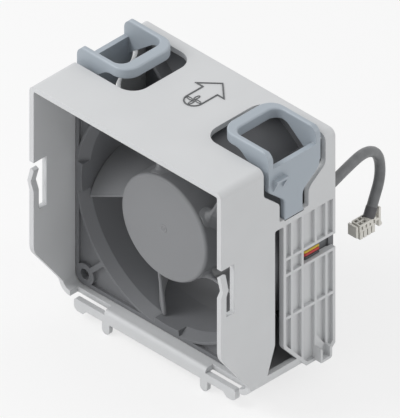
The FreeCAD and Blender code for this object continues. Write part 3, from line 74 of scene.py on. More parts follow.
# %% Places on the solids
carrier_low, carrier_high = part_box("carrier")
frame_low, frame_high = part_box("fan_frame")
impeller_low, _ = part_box("impeller")
CARRIER_TOP = carrier_high.z / MM
FRONT_RIM = carrier_low.y / MM
FAN_AXIS_Z = (frame_low.z + frame_high.z) / 2 / MM
HUB_FACE = impeller_low.y / MM
print("top", round(CARRIER_TOP, 2), "front rim", round(FRONT_RIM, 2))
print("axis height", round(FAN_AXIS_Z, 2), "hub face", round(HUB_FACE, 2))

# %% [markdown]
# The drawing is an exact isometric: all three axes are drawn at one scale, and parallel edges stay
# parallel. A perspective lens from far away comes near to that, but an orthographic camera gives
# it exactly when it looks along the diagonal of a cube. Its frame is 418 pixels high, and a
# millimetre square to the view is 2.805 of them. The aim is the point in the middle of the frame.

# %% Camera
IMAGE_HEIGHT = 418
PIXELS_PER_MM = 2.805
AIM = Vector((0.0, 8.9, 47.8)) * MM
VIEW_FROM = Vector((1.0, -1.0, 1.0)).normalized()
CAMERA_DISTANCE = 0.8
CLIP_FROM = 0.01
CLIP_TO = 10.0

lens = bpy.data.cameras.new("isometric_lens")
lens.type = "ORTHO"
lens.ortho_scale = IMAGE_HEIGHT / PIXELS_PER_MM * MM
lens.clip_start = CLIP_FROM
lens.clip_end = CLIP_TO
camera = bpy.data.objects.new("camera", lens)
bpy.context.scene.collection.objects.link(camera)
camera.location = AIM + VIEW_FROM * CAMERA_DISTANCE
camera.rotation_euler = VIEW_FROM.to_track_quat("Z", "Y").to_euler()
bpy.context.scene.camera = camera
print("frame height in millimetres", round(lens.ortho_scale / MM, 1))

# %% [markdown]
# The fan's cable is a soft round sleeve over four leads. It leaves a grommet in the rear corner,
# rises a little, turns over and falls to its connector. Straight tubes joined by arcs would look
# bent by hand. A smooth spline with few control points bends as a real cable does, because the
# curve runs inside the corners of its control polygon, so the cable is made of one.

# %% Cable
CABLE_RADIUS = 2.0 * MM
CABLE_STEPS = 16
CABLE_ROUNDNESS = 6
CABLE_ROUTE = [
    (42.083, 31.645, 67.256),
    (38.76, 44.35, 67.7),
    (35.27, 57.39, 66.8),
    (32.91, 66.18, 60.1),
    (32.57, 67.44, 49.6),
    (33.79, 62.9, 42.2),
    (34.57, 60.0, 37.9),
]


def smooth_cord(name, route_mm, radius):
    """A round cord along a quadratic spline whose control points are the route."""
    data = bpy.data.curves.new(name, "CURVE")
    data.dimensions = "3D"
    spline = data.splines.new("NURBS")
    spline.points.add(len(route_mm) - 1)
    for point, place in zip(spline.points, route_mm):
        point.co = (*(Vector(place) * MM), 1.0)
    spline.order_u = 3
    spline.use_endpoint_u = True
    spline.resolution_u = CABLE_STEPS
    data.bevel_depth = radius
    data.bevel_resolution = CABLE_ROUNDNESS
    data.use_fill_caps = True
    piece = bpy.data.objects.new(name, data)
    bpy.context.scene.collection.objects.link(piece)
    return piece


cable = smooth_cord("fan_cable_sleeve", CABLE_ROUTE, CABLE_RADIUS)
print("control points", len(CABLE_ROUTE))

# %% [markdown]
# The control polygon is longer than the curve. The curve's own points, taken from a copy without any
# thickness, give its middle line, and their last step gives the direction in which the cable meets its
# connector.

# %% Middle line of the cable
def spline_points(piece):
    """The points of a cord's middle line in millimetres, from the spline without its thickness."""
    bare = piece.copy()
    bare.data = piece.data.copy()
    bare.data.bevel_depth = 0.0
    line = bpy.data.meshes.new_from_object(bare)
    places = np.empty(len(line.vertices) * 3)
    line.vertices.foreach_get("co", places)
    bpy.data.objects.remove(bare)
    return places.reshape(-1, 3) / MM


cable_line = spline_points(cable)

# %% [markdown]
# A finish is worked out by a web of small nodes: this noise times that mask, less a little at the
# edges. Wired up one by one, such sums are hard to read. They read best as arithmetic, so a small
# class wraps a node's output, and an expression on its values adds the Math nodes.

# %% Values in expressions
class Value:
    """An output socket that takes part in Python arithmetic."""

    def __init__(self, graph, socket):
        self.graph = graph
        self.socket = socket

    def math(self, operation, *others):
        """What one Math node makes of the value and the others."""
        return self.graph.node("Math", {"operation": operation}, [self, *others])

    def __add__(self, other):
        return self.math("ADD", other)

    def __sub__(self, other):
        return self.math("SUBTRACT", other)

    def __rsub__(self, other):
        return self.graph.node("Math", {"operation": "SUBTRACT"}, [other, self])

    def __mul__(self, other):
        return self.math("MULTIPLY", other)

    __radd__ = __add__
    __rmul__ = __mul__

    def above(self, other):
        """One where the value is the larger, nought elsewhere."""
        return self.math("GREATER_THAN", other)

    def wave(self):
        """The sine of the value."""
        return self.math("SINE")

    def clamped(self):
        """The value, kept between nought and one."""
        return self.math("MINIMUM", 1.0).math("MAXIMUM", 0.0)


print("values take part in sums")

# %% [markdown]
# Materials and the world are both trees of nodes. Every node that isn't arithmetic comes from one
# method, which takes the node's type, its settings and what goes into its sockets. It could be a
# line or more for each link, but one call that names all of a node's inputs shows them together.

# %% Trees of nodes
WHITE = (1.0, 1.0, 1.0)


class Graph:
    """A tree of nodes under construction."""

    def __init__(self, tree):
        self.tree = tree

    def node(self, kind, settings, inputs, output=None):
        """A node of a kind, its settings made first, and one of its outputs as a Value."""
        made = self.tree.nodes.new("ShaderNode" + kind)
        for key, setting in settings.items():
            setattr(made, key, setting)
        pairs = enumerate(inputs) if isinstance(inputs, list) else inputs.items()
        for key, given in pairs:
            self.feed(made.inputs[key], given)
        if output is None:
            return Value(self, next(socket for socket in made.outputs if socket.enabled))
        return Value(self, made.outputs[output])

    def feed(self, socket, given):
        """Links a value to a socket, or writes a plain number, vector or colour on it."""
        if isinstance(given, Value):
            self.tree.links.new(given.socket, socket)
        elif socket.type == "RGBA":
            socket.default_value = (*given, 1.0)
        else:
            socket.default_value = given

    def mix(self, factor, first, second):
        """A colour between two colours."""
        return self.node("Mix", {"data_type": "RGBA"}, {0: factor, 6: first, 7: second}, output=2)


print("trees of nodes ready")

# %% [markdown]
# Real pieces are worn where their shape says so, and edges are rubbed pale. Corners get painted shade,
# darker where they see little sky. Both could be painted by hand, but a mask worked out from the shape
# fits any piece.
# The Bevel node turns the surface's direction near an edge, and Ambient Occlusion knows how much
# of the sky a point sees. Patterns are laid out in millimetres of the piece itself.

# %% Finishes, their wear and painted shade
EDGE_RAYS = 6
CREVICE_RAYS = 8
EDGE_STRENGTH = 3.0


class Finish(Graph):
    """A material under construction, with a Principled shader at its end."""

    def __init__(self, name):
        self.material = bpy.data.materials.new(name)
        self.material.use_nodes = True
        super().__init__(self.material.node_tree)
        self.shader = self.tree.nodes["Principled BSDF"]
        place = self.node("TexCoord", {}, {}, output="Object")
        self.place = self.node("VectorMath", {"operation": "SCALE"}, {"Vector": place, "Scale": 1 / MM})

    def set(self, **sockets):
        """Feeds the Principled shader, with underscores for the spaces in socket names."""
        for key, given in sockets.items():
            self.feed(self.shader.inputs[key.replace("_", " ")], given)

    def axis(self, letter):
        """One coordinate of the piece in millimetres."""
        return self.node("SeparateXYZ", {}, {"Vector": self.place}, output=letter)

    def stretched(self, factors):
        """The place, scaled by its own factor along each axis."""
        return self.node("VectorMath", {"operation": "MULTIPLY"}, {0: self.place, 1: factors})

    def noise(self, scale, detail=2.0, roughness=0.5, vector=None):
        """Noise with this many lumps to the millimetre."""
        inputs = {"Scale": scale, "Detail": detail, "Roughness": roughness}
        inputs["Vector"] = vector or self.place
        return self.node("TexNoise", {}, inputs, output="Fac")

    def soft_edge(self, radius_mm):
        """The surface's direction, turned gently round every edge."""
        return self.node("Bevel", {"samples": EDGE_RAYS}, {"Radius": radius_mm * MM})

    def edge_mask(self, rounded):
        """Near one at an edge and nought on a flat, from how far the rounded direction leans."""
        flat = self.node("NewGeometry", {}, {}, output="True Normal")
        dot = {"operation": "DOT_PRODUCT"}
        cosine = self.node("VectorMath", dot, {0: rounded, 1: flat}, output="Value")
        return ((1.0 - cosine) * EDGE_STRENGTH).clamped()

    # This mask paints shade: the finishes darken their colour where it is near one.
    def crevice(self, reach_mm):
        """Near one in a corner that little light reaches, nought in the open."""
        inputs = {"Distance": reach_mm * MM}
        open_sky = self.node("AmbientOcclusion", {"samples": CREVICE_RAYS}, inputs, output="AO")
        return (1.0 - open_sky).clamped()

    def bump(self, height, depth_mm, normal=None):
        """Relief of this depth in millimetres, on top of a direction if one is given."""
        inputs = {"Strength": 1.0, "Distance": depth_mm * MM, "Height": height}
        if normal:
            inputs["Normal"] = normal
        return self.node("Bump", {}, inputs)


print("wear masks ready")

# %% [markdown]
# Every finish needs a darker, a paler or a corner-shaded tone of its own colour, the last one for
# painted shade in corners. Colours could be mixed in the shader, but these shades don't change over
# a piece, so plain Python works them out once.

# %% Shades of a colour
# Painted shade in corners keeps this share of the colour's light and adds this grey.
CORNER_SHADE_KEEP = 0.35
CORNER_SHADE_GREY = 0.10


def darker(colour, share):
    """A colour with this share of its light."""
    return tuple(share * c for c in colour)


def paler(colour, share):
    """A colour, moved by this share of the way to white."""
    return tuple(c + share * (1 - c) for c in colour)


def lifted(colour, amount):
    """A colour with the same amount of grey added to all of it."""
    return tuple(c + amount for c in colour)


def corner_shaded(colour):
    """A colour darkened and greyed, as painted shade in a corner."""
    return lifted(darker(colour, CORNER_SHADE_KEEP), CORNER_SHADE_GREY)


print("rubbed edge of mid grey", paler((0.5, 0.5, 0.5), 0.45))

# %% [markdown]
# Moulded plastic has the fine, even grain of its spark-eroded mould, a cloudy change of gloss where
# it cooled at different speeds and edges rubbed a little lighter; its corners get painted shade. A plain
# grey shader would look like paint. A picture of real plastic would repeat and stretch, so the
# grain is noise, and one recipe makes all the plastics with their own colour, gloss and grain.

# %% Recipe for moulded plastic
PLASTIC_EDGE_MM = 0.25
PLASTIC_CREVICE_MM = 2.2
CLOUD_SCALE = 0.05
SCUFF_SCALE = 0.9
SCUFF_STRETCH = (1.0, 0.25, 1.6)
SCRATCH_FROM = 0.60
SCRATCH_CONTRAST = 6.0
SCRATCH_HEIGHT = 0.6
CLOUD_SHADE = 0.78
CLOUD_SHARE = 0.35
RUBBED = 0.45
PLASTIC_SHINE = 0.45
CLOUD_GLOSS = 0.12
SCRATCH_GLOSS = 0.07
DUST_GLOSS = 0.10
EDGE_POLISH = 0.08


def moulded(name, colour, roughness, grain_mm=0.012, grain_scale=5.0, corner_shade_share=0.35, wear=0.3):
    """Plastic with mould grain, cloudy gloss, rubbed edges and painted shade in its corners.

    The colour drifts to its darker shade with the clouds, is darkened in corners as painted shade
    and turns pale at edges. Clouds, scratches and corners make it rougher, and rubbing makes edges
    smoother.
    """
    finish = Finish(name)
    rounded = finish.soft_edge(PLASTIC_EDGE_MM)
    edge = finish.edge_mask(rounded)
    corner = finish.crevice(PLASTIC_CREVICE_MM)
    cloud = finish.noise(CLOUD_SCALE, detail=3.0)
    grain = finish.noise(grain_scale, detail=2.0, roughness=0.6)
    scuff = finish.noise(SCUFF_SCALE, detail=5.0, roughness=0.7, vector=finish.stretched(SCUFF_STRETCH))
    scratched = ((scuff - SCRATCH_FROM) * SCRATCH_CONTRAST).clamped()
    base = finish.mix(cloud * CLOUD_SHARE, colour, darker(colour, CLOUD_SHADE))
    # Painted shade: the colour is darkened where a corner sees little sky.
    base = finish.mix(corner * corner_shade_share, base, corner_shaded(colour))
    base = finish.mix(edge * wear * (0.5 + scuff), base, paler(colour, RUBBED))
    gloss = roughness + (cloud - 0.5) * CLOUD_GLOSS + scratched * SCRATCH_GLOSS
    gloss = gloss + corner * DUST_GLOSS - edge * EDGE_POLISH
    relief = finish.bump(grain + scratched * SCRATCH_HEIGHT, grain_mm, rounded)
    finish.set(Base_Color=base, Roughness=gloss, Normal=relief, Specular_IOR_Level=PLASTIC_SHINE)
    return finish.material


print("recipe for moulded plastic ready")

# %% [markdown]
# The drawing has no colours, so they are those that such modules have: a pale carrier, latches in
# a blue grey that says where to squeeze, a dark fan and an ivory plug. The impeller is a little
# lighter than its frame, because black on black would hide the blades.

# %% Plastics
CARRIER_GREY = (0.66, 0.67, 0.68)
LATCH_GREY = (0.40, 0.45, 0.50)
FRAME_GREY = (0.17, 0.175, 0.185)
IMPELLER_GREY = (0.24, 0.245, 0.255)
SIGN_GREY = (0.09, 0.095, 0.10)
NYLON_IVORY = (0.80, 0.78, 0.72)
BOBBIN_IVORY = (0.84, 0.82, 0.74)
RESIN_BLACK = (0.035, 0.035, 0.04)
carrier_plastic = moulded("carrier_plastic", CARRIER_GREY, roughness=0.46)
latch_plastic = moulded("latch_plastic", LATCH_GREY, roughness=0.38, wear=0.5)
frame_plastic = moulded("frame_plastic", FRAME_GREY, roughness=0.52, grain_mm=0.018, grain_scale=3.2)
impeller_plastic = moulded(
    "impeller_plastic", IMPELLER_GREY, roughness=0.42, grain_mm=0.008, corner_shade_share=0.45
)
connector_nylon = moulded("connector_nylon", NYLON_IVORY, roughness=0.36, grain_mm=0.006, corner_shade_share=0.5)
bobbin_nylon = moulded("bobbin_nylon", BOBBIN_IVORY, roughness=0.40, corner_shade_share=0.5)
chip_resin = moulded("chip_resin", RESIN_BLACK, roughness=0.45, grain_mm=0.006)
sign_ink = moulded("sign_ink", SIGN_GREY, roughness=0.5, grain_mm=0.006, wear=0.5)
print("materials so far", len(bpy.data.materials))

# %% [markdown]
# Metals differ by how they were worked. Turned and ground parts keep fine rings round the axis,
# drawn and plated sheet is cloudy, and a stack of sheets shows a line for each sheet. Rings cut as
# shapes would need thousands of faces. A sine wave along the axis, with a slight wobble, gives the
# same lines to light, and its spacing alone turns ground steel into stacked sheets or windings.

# %% Recipe for worked metal
METAL_EDGE_MM = 0.12
METAL_CREVICE_MM = 1.0
METAL_CLOUD_SCALE = 0.35
RING_WOBBLE_SCALE = 0.8
RING_WOBBLE_MM = 0.2
# How much crevices darken as painted shade; the tone below serves both that shade and the real tarnish.
CREVICE_SHADE = 0.4
TARNISH_AND_SHADE_TONE = 0.55
METAL_CLOUD_GLOSS = 0.12
LINE_GLOSS = 0.03


def worked_metal(name, colour, roughness, ring_mm, depth_mm, tarnish=0.25):
    """Metal with tool lines across the axis at this spacing, a cloudy tarnish and painted shade in its
    crevices.

    The lines are the sine of the distance along the axis, plus a wobble, in turns of the spacing.
    """
    finish = Finish(name)
    rounded = finish.soft_edge(METAL_EDGE_MM)
    wobble = finish.noise(RING_WOBBLE_SCALE, detail=3.0)
    lines = ((finish.axis("Y") + wobble * RING_WOBBLE_MM) * (2 * math.pi / ring_mm)).wave()
    cloud = finish.noise(METAL_CLOUD_SCALE, detail=4.0)
    corner = finish.crevice(METAL_CREVICE_MM)
    # Real tarnish in clouds, plus painted shade where a crevice sees little sky.
    tarnish_and_shade = (cloud * tarnish + corner * CREVICE_SHADE).clamped()
    finish.set(
        Base_Color=finish.mix(tarnish_and_shade, colour, darker(colour, TARNISH_AND_SHADE_TONE)),
        Metallic=1.0,
        Roughness=roughness + cloud * METAL_CLOUD_GLOSS + lines * LINE_GLOSS,
        Normal=finish.bump(lines, depth_mm, rounded),
    )
    return finish.material


print("recipe for worked metal ready")

# %% [markdown]
# Eight metals come from that recipe. The fan's cup is plated sheet, its shaft is ground, its races
# are polished, and the core is a stack of thin sheets. The windings are in it too: copper wire
# side by side shows as close, deep lines, and its enamel keeps it bright.

# %% Metals
ZINC_GREY = (0.62, 0.62, 0.63)
SHAFT_GREY = (0.74, 0.74, 0.75)
SPRING_BLACK = (0.20, 0.20, 0.22)
BRASS_YELLOW = (0.78, 0.60, 0.30)
RACE_GREY = (0.75, 0.76, 0.78)
SHEET_GREY = (0.36, 0.37, 0.40)
COPPER_RED = (0.72, 0.33, 0.14)
TIN_WHITE = (0.80, 0.80, 0.78)
plated_steel = worked_metal("plated_steel", ZINC_GREY, roughness=0.34, ring_mm=1.4, depth_mm=0.002)
ground_steel = worked_metal("ground_steel", SHAFT_GREY, roughness=0.20, ring_mm=0.16, depth_mm=0.001)
black_spring_steel = worked_metal(
    "black_spring_steel", SPRING_BLACK, roughness=0.42, ring_mm=0.3, depth_mm=0.002
)
turned_brass = worked_metal("turned_brass", BRASS_YELLOW, roughness=0.26, ring_mm=0.22, depth_mm=0.002)
bearing_steel = worked_metal("bearing_steel", RACE_GREY, roughness=0.14, ring_mm=0.12, depth_mm=0.001)
stacked_sheets = worked_metal(
    "stacked_sheets", SHEET_GREY, roughness=0.45, ring_mm=0.5, depth_mm=0.02, tarnish=0.5
)
enamelled_copper = worked_metal(
    "enamelled_copper", COPPER_RED, roughness=0.26, ring_mm=0.4, depth_mm=0.06
)
tinned_terminal = worked_metal("tinned_terminal", TIN_WHITE, roughness=0.28, ring_mm=0.5, depth_mm=0.002)
print("materials so far", len(bpy.data.materials))

# %% [markdown]
# The grommet is black rubber, and the rotor's magnet is ferrite powder bound in rubber. Neither
# shines. A plain dark colour would look like a hole in the picture, so a chalky bloom lightens it
# in patches and a faint orange peel breaks up the light.

# %% Rubber and ferrite
RUBBER_BLACK = (0.05, 0.05, 0.055)
FERRITE_BLACK = (0.07, 0.065, 0.065)
RUBBER_EDGE_MM = 0.15
BLOOM_SCALE = 0.4
BLOOM_SHARE = 0.8
BLOOM_LIFT = 0.12
BLOOM_GLOSS = 0.15
PEEL_SCALE = 3.0
PEEL_MM = 0.02


def soft_rubber(name, colour, roughness=0.6):
    """Rubber with a chalky bloom and a faint orange-peel surface."""
    finish = Finish(name)
    rounded = finish.soft_edge(RUBBER_EDGE_MM)
    bloom = finish.noise(BLOOM_SCALE, detail=5.0)
    peel = finish.noise(PEEL_SCALE, detail=2.0)
    finish.set(
        Base_Color=finish.mix((bloom * BLOOM_SHARE).clamped(), colour, lifted(colour, BLOOM_LIFT)),
        Roughness=roughness + (bloom - 0.5) * BLOOM_GLOSS,
        Normal=finish.bump(peel, PEEL_MM, rounded),
    )
    return finish.material


grommet_rubber = soft_rubber("grommet_rubber", RUBBER_BLACK)
bonded_ferrite = soft_rubber("bonded_ferrite", FERRITE_BLACK, roughness=0.5)
print("rubbers", grommet_rubber.name, bonded_ferrite.name)

# %% [markdown]
# The cable's outer sleeve is a soft extruded sheath, handled a good deal. One even colour would
# look like a painted rod, so its skin is slightly uneven and paler marks come and go along it.

# %% Cable sheath
SHEATH_BLACK = (0.10, 0.105, 0.11)
SHEATH_ROUGHNESS = 0.42
SKIN_SCALE = 2.2
SKIN_GLOSS = 0.2
SKIN_MM = 0.03
MARK_SCALE = 0.35
MARK_SHARE = 0.7
MARK_LIFT = 0.16


def extruded_sheath(name, colour):
    """A soft sheath with a faint skin texture and handling marks."""
    finish = Finish(name)
    skin = finish.noise(SKIN_SCALE, detail=4.0, roughness=0.6)
    marks = finish.noise(MARK_SCALE, detail=4.0)
    finish.set(
        Base_Color=finish.mix((marks * MARK_SHARE).clamped(), colour, lifted(colour, MARK_LIFT)),
        Roughness=SHEATH_ROUGHNESS + (skin - 0.5) * SKIN_GLOSS,
        Normal=finish.bump(skin, SKIN_MM),
    )
    return finish.material


cable_sheath = extruded_sheath("cable_sheath", SHEATH_BLACK)
print("sheath", cable_sheath.name)

# %% [markdown]
# The four leads under the sleeve show in the tray at the side. They differ in colour, as real ones
# do. They are one node of four solids, and rather than split it, the shader changes its colour
# with the height in the tray, one step to each lead.

# %% Leads
LEAD_BLACK = (0.03, 0.03, 0.035)
LEAD_RED = (0.45, 0.03, 0.03)
LEAD_YELLOW = (0.60, 0.42, 0.03)
LEAD_BLUE = (0.05, 0.12, 0.45)
LEAD_PITCH_MM = 1.35
LEAD_ROUGHNESS = 0.34
LEAD_SKIN_SCALE = 4.0
LEAD_SKIN_GLOSS = 0.12
LEAD_SKIN_MM = 0.015


def coloured_leads(name, low_mm, pitch_mm, colours):
    """Lead sheaths whose colour steps with height, one colour to each lead."""
    finish = Finish(name)
    height = finish.axis("Z")
    base = colours[0]
    for index, colour in enumerate(colours[1:], start=1):
        base = finish.mix(height.above(low_mm + index * pitch_mm), base, colour)
    skin = finish.noise(LEAD_SKIN_SCALE, detail=3.0)
    gloss = LEAD_ROUGHNESS + skin * LEAD_SKIN_GLOSS
    finish.set(Base_Color=base, Roughness=gloss, Normal=finish.bump(skin, LEAD_SKIN_MM))
    return finish.material


lead_low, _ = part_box("lead_wires")
upwards = [LEAD_BLACK, LEAD_RED, LEAD_YELLOW, LEAD_BLUE]
lead_sheaths = coloured_leads("lead_sheaths", lead_low.z / MM, LEAD_PITCH_MM, upwards)
print("lowest lead at", round(lead_low.z / MM, 2), "and one every", LEAD_PITCH_MM)

# %% [markdown]
# A drive board is glass sheet with copper tracks under green lacquer. The tracks show as paler,
# slightly raised lines. They could be drawn one by one, but the board is hidden in the motor, so
# a bent wave cut off at a level gives lines of the right width and spacing.

# %% Board lacquer
LACQUER_GREEN = (0.02, 0.16, 0.08)
TRACK_GREEN = (0.06, 0.30, 0.15)
CLOUDED_GREEN = (0.03, 0.12, 0.07)
LACQUER_ROUGHNESS = 0.24
LACQUER_CLOUD_SCALE = 0.5
LACQUER_CLOUD_SHARE = 0.3
LACQUER_CLOUD_GLOSS = 0.1
TRACK_WARP_SCALE = 0.25
TRACK_WARP_MM = 6.0
TRACK_RATE = 2.6
TRACK_LEVEL = 0.55
TRACK_MM = 0.03


def board_lacquer(name):
    """Green solder lacquer over copper tracks that show as raised, paler lines.

    A track is where the sine of the warped distance across the board is above a level.
    """
    finish = Finish(name)
    warp = finish.noise(TRACK_WARP_SCALE, detail=0.0) * TRACK_WARP_MM
    tracks = ((finish.axis("X") + warp) * TRACK_RATE).wave().above(TRACK_LEVEL)
    cloud = finish.noise(LACQUER_CLOUD_SCALE, detail=4.0)
    base = finish.mix(tracks, LACQUER_GREEN, TRACK_GREEN)
    base = finish.mix(cloud * LACQUER_CLOUD_SHARE, base, CLOUDED_GREEN)
    gloss = LACQUER_ROUGHNESS + cloud * LACQUER_CLOUD_GLOSS
    finish.set(Base_Color=base, Roughness=gloss, Normal=finish.bump(tracks, TRACK_MM))
    return finish.material


board_green = board_lacquer("board_green")
print("materials in all", len(bpy.data.materials))

# %% [markdown]
# Each solid takes the finish that its real piece has. The mesh itself is not touched, only the
# material in its slots changes. A table from solid to finish is easier to check against the real
# object than a line of code for each one, and the print names any solid that was forgotten.

# %% Dress the solids
DRESS = {
    "carrier": carrier_plastic,
    "latch_right": latch_plastic,
    "latch_left": latch_plastic,
    "fan_frame": frame_plastic,
    "impeller": impeller_plastic,
    "rotor_yoke": plated_steel,
    "rotor_magnet": bonded_ferrite,
    "shaft": ground_steel,
    "retaining_clip": black_spring_steel,
    "bearing_tube": turned_brass,
    "front_bearing_outer": bearing_steel,
    "front_bearing_inner": bearing_steel,
    "rear_bearing_outer": bearing_steel,
    "rear_bearing_inner": bearing_steel,
    "bearing_balls": bearing_steel,
    "stator_core": stacked_sheets,
    "stator_bobbins": bobbin_nylon,
    "stator_windings": enamelled_copper,
    "circuit_board": board_green,
    "drive_chips": chip_resin,
    "lead_wires": lead_sheaths,
    "cable_grommet": grommet_rubber,
    "fan_cable": cable_sheath,
    "connector_body": connector_nylon,
    "connector_terminals": tinned_terminal,
}


def dress(name, material):
    """Puts one finish in every material slot of a solid."""
    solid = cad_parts[name]
    if not solid.material_slots:
        solid.data.materials.append(material)
    for slot in solid.material_slots:
        slot.material = material


for name, material in DRESS.items():
    dress(name, material)
print("undressed", sorted(set(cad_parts) - set(DRESS)))

# %% [markdown]
# The pieces below are new. Each is a mesh made from an array of points and a list of faces, and
# each has to say which moving body carries it. Both jobs come back for every piece, so each has a
# helper: one makes the mesh with its place in its points, the other gives it finish and body.

# %% Helpers for new pieces
def mesh_piece(name, points, faces, smooth=False):
    """A mesh object from an array of points and a list of faces."""
    data = bpy.data.meshes.new(name)
    data.from_pydata(np.asarray(points).tolist(), [], [list(face) for face in faces])
    data.validate()
    data.update()
    data.polygons.foreach_set("use_smooth", [smooth] * len(data.polygons))
    piece = bpy.data.objects.new(name, data)
    bpy.context.scene.collection.objects.link(piece)
    return piece


def add_piece(piece, material, body):
    """Gives a new piece its finish in a material slot, and its body."""
    piece.data.materials.clear()
    piece.data.materials.append(material)
    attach(piece, body)
    return piece


def ring_faces(rings, count):
    """Four-cornered faces between rings of points, and a flat face over the first and the last."""
    ring, step = np.meshgrid(np.arange(rings - 1), np.arange(count), indexing="ij")
    here = ring * count + step
    there = ring * count + (step + 1) % count
    faces = np.stack([here, there, there + count, here + count], axis=-1).reshape(-1, 4).tolist()
    faces.append(list(range(count))[::-1])
    faces.append(list(range((rings - 1) * count, rings * count)))
    return faces


print("faces of a tube of 3 rings of 8 points", len(ring_faces(3, 8)))

# %% [markdown]
# Where the leads go into the connector, a short shrunk collar closes the sleeve, and its ends are
# rounded over. A cylinder would do on a straight cable. This one is a row of circles along a line,
# so it leans exactly as the cable's last stretch does and overlaps it a little on both sides.

# %% Collar at the connector
COLLAR_BACK = 2.4
COLLAR_ON = 1.9
COLLAR_RADIUS = 2.14
COLLAR_LIP = 0.2
COLLAR_LIP_SHARE = 0.1
COLLAR_RINGS = 24
COLLAR_SIDES = 40


def tube(name, line, radii, sides):
    """Circles of the given radii round the points of a line, joined, with both ends closed.

    A point is the line's point plus the radius times a unit circle square to the line there.
    """
    along = np.gradient(line, axis=0)
    along /= np.linalg.norm(along, axis=1)[:, None]
    first = np.cross(along, (1.0, 0.0, 0.0))
    first /= np.linalg.norm(first, axis=1)[:, None]
    second = np.cross(along, first)
    angle = np.linspace(0, 2 * np.pi, sides, endpoint=False)[None, :, None]
    circle = np.cos(angle) * first[:, None] + np.sin(angle) * second[:, None]
    points = (line[:, None] + np.asarray(radii)[:, None, None] * circle).reshape(-1, 3)
    return mesh_piece(name, points * MM, ring_faces(len(line), sides), smooth=True)


heading = cable_line[-1] - cable_line[-2]
heading /= np.linalg.norm(heading)
way = np.linspace(-COLLAR_BACK, COLLAR_ON, COLLAR_RINGS)
collar_line = cable_line[-1] + way[:, None] * heading
from_middle = np.abs(np.linspace(-1, 1, COLLAR_RINGS))
into_lip = np.clip((from_middle - (1 - COLLAR_LIP_SHARE)) / COLLAR_LIP_SHARE, 0, 1)
collar_radii = COLLAR_RADIUS - COLLAR_LIP * (1 - np.sqrt(1 - into_lip**2))
collar = tube("cable_collar", collar_line, collar_radii, COLLAR_SIDES)
add_piece(collar, grommet_rubber, "carrier_body")
print("collar length", COLLAR_BACK + COLLAR_ON, "faces", len(collar.data.polygons))

# %% [markdown]
# The spline stands for the solid tube of the cable, rides on the carrier and holds the connector
# and the collar at its far end.

# %% Cable on its body
add_piece(cable, cable_sheath, "carrier_body")
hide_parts("fan_cable")

# %% [markdown]
# The top wall carries moulded signs drawn as outlines. An engraved mould leaves such a line as a
# narrow raised band with chamfered edges. A curve with thickness would be round, and a picture on
# the wall would have no depth. So a band is worked out between an outline and the same outline
# moved inwards. It is inked dark, because a raised line in the wall's colour is hard to see.

# %% Raised lines
SIGN_CHAMFER = 0.05
SIGN_SINK = 0.05
SIGN_HEIGHT = 0.35
SIGN_BASE = CARRIER_TOP - SIGN_SINK


def inset(outline, distance):
    """A closed outline moved inwards by a distance.

    At each point the two edge normals are added, and the sum is stretched by one over one plus
    their dot product, so that both edges move by the same distance.
    """
    edge = np.roll(outline, -1, axis=0) - outline
    edge /= np.linalg.norm(edge, axis=1)[:, None]
    after = np.column_stack([-edge[:, 1], edge[:, 0]])
    before = np.roll(after, 1, axis=0)
    stretch = distance / (1 + (before * after).sum(axis=1))
    return outline + (before + after) * stretch[:, None]


def raised_line(name, outline, width):
    """A band of this width inside a closed anticlockwise outline, on the top wall.

    Its section is a rectangle: outer low, outer high, inner high and inner low, carried round.
    """
    inner = inset(outline, width)
    count = len(outline)
    low = SIGN_BASE
    high = SIGN_BASE + SIGN_HEIGHT
    corners = [(outline, low), (outline, high), (inner, high), (inner, low)]
    points = np.vstack([np.column_stack([line, np.full(count, level)]) for line, level in corners])
    ring, step = np.meshgrid(np.arange(len(corners)), np.arange(count), indexing="ij")
    here = ring * count
    beside = (ring + 1) % len(corners) * count
    onward = (step + 1) % count
    faces = np.stack([here + step, here + onward, beside + onward, beside + step], axis=-1)
    band = mesh_piece(name, points * MM, faces.reshape(-1, 4).tolist())
    chamfer = band.modifiers.new("chamfer", "BEVEL")
    chamfer.width = SIGN_CHAMFER * MM
    chamfer.segments = 2
    chamfer.limit_method = "ANGLE"
    return band


print("signs stand from", round(SIGN_BASE, 2), "to", round(SIGN_BASE + SIGN_HEIGHT, 2))

# %% [markdown]
# A large arrow shows which way the air goes, so that nobody fits the module the wrong way round.
# Its tail is a half circle, and its head is five corners. A point list for all of it would hide
# that, so the tail is a formula and only the head's corners are written out.

# %% Airflow arrow
ARROW_TIP_Y = FRONT_RIM + 49.4
ARROW_BARB_Y = FRONT_RIM + 42.5
ARROW_TAIL_Y = FRONT_RIM + 34.6
ARROW_BARB_HALF = 7.6
ARROW_SHAFT_HALF = 3.9
ARROW_LINE = 0.5
TAIL_POINTS = 33


def arc(centre, radius, start_deg, end_deg, count):
    """Points at the centre plus the radius times cosine and sine, anticlockwise."""
    angle = np.radians(np.linspace(start_deg, end_deg, count))
    return np.column_stack([centre[0] + radius * np.cos(angle), centre[1] + radius * np.sin(angle)])


tail = arc((0.0, ARROW_TAIL_Y), ARROW_SHAFT_HALF, 180, 360, TAIL_POINTS)
head = np.array(
    [
        (ARROW_SHAFT_HALF, ARROW_BARB_Y),
        (ARROW_BARB_HALF, ARROW_BARB_Y),
        (0.0, ARROW_TIP_Y),
        (-ARROW_BARB_HALF, ARROW_BARB_Y),
        (-ARROW_SHAFT_HALF, ARROW_BARB_Y),
    ]
)
arrow = raised_line("airflow_arrow", np.vstack([tail, head]), ARROW_LINE)
add_piece(arrow, sign_ink, "carrier_body")
print("arrow length", round(ARROW_TIP_Y - ARROW_TAIL_Y + ARROW_SHAFT_HALF, 1))

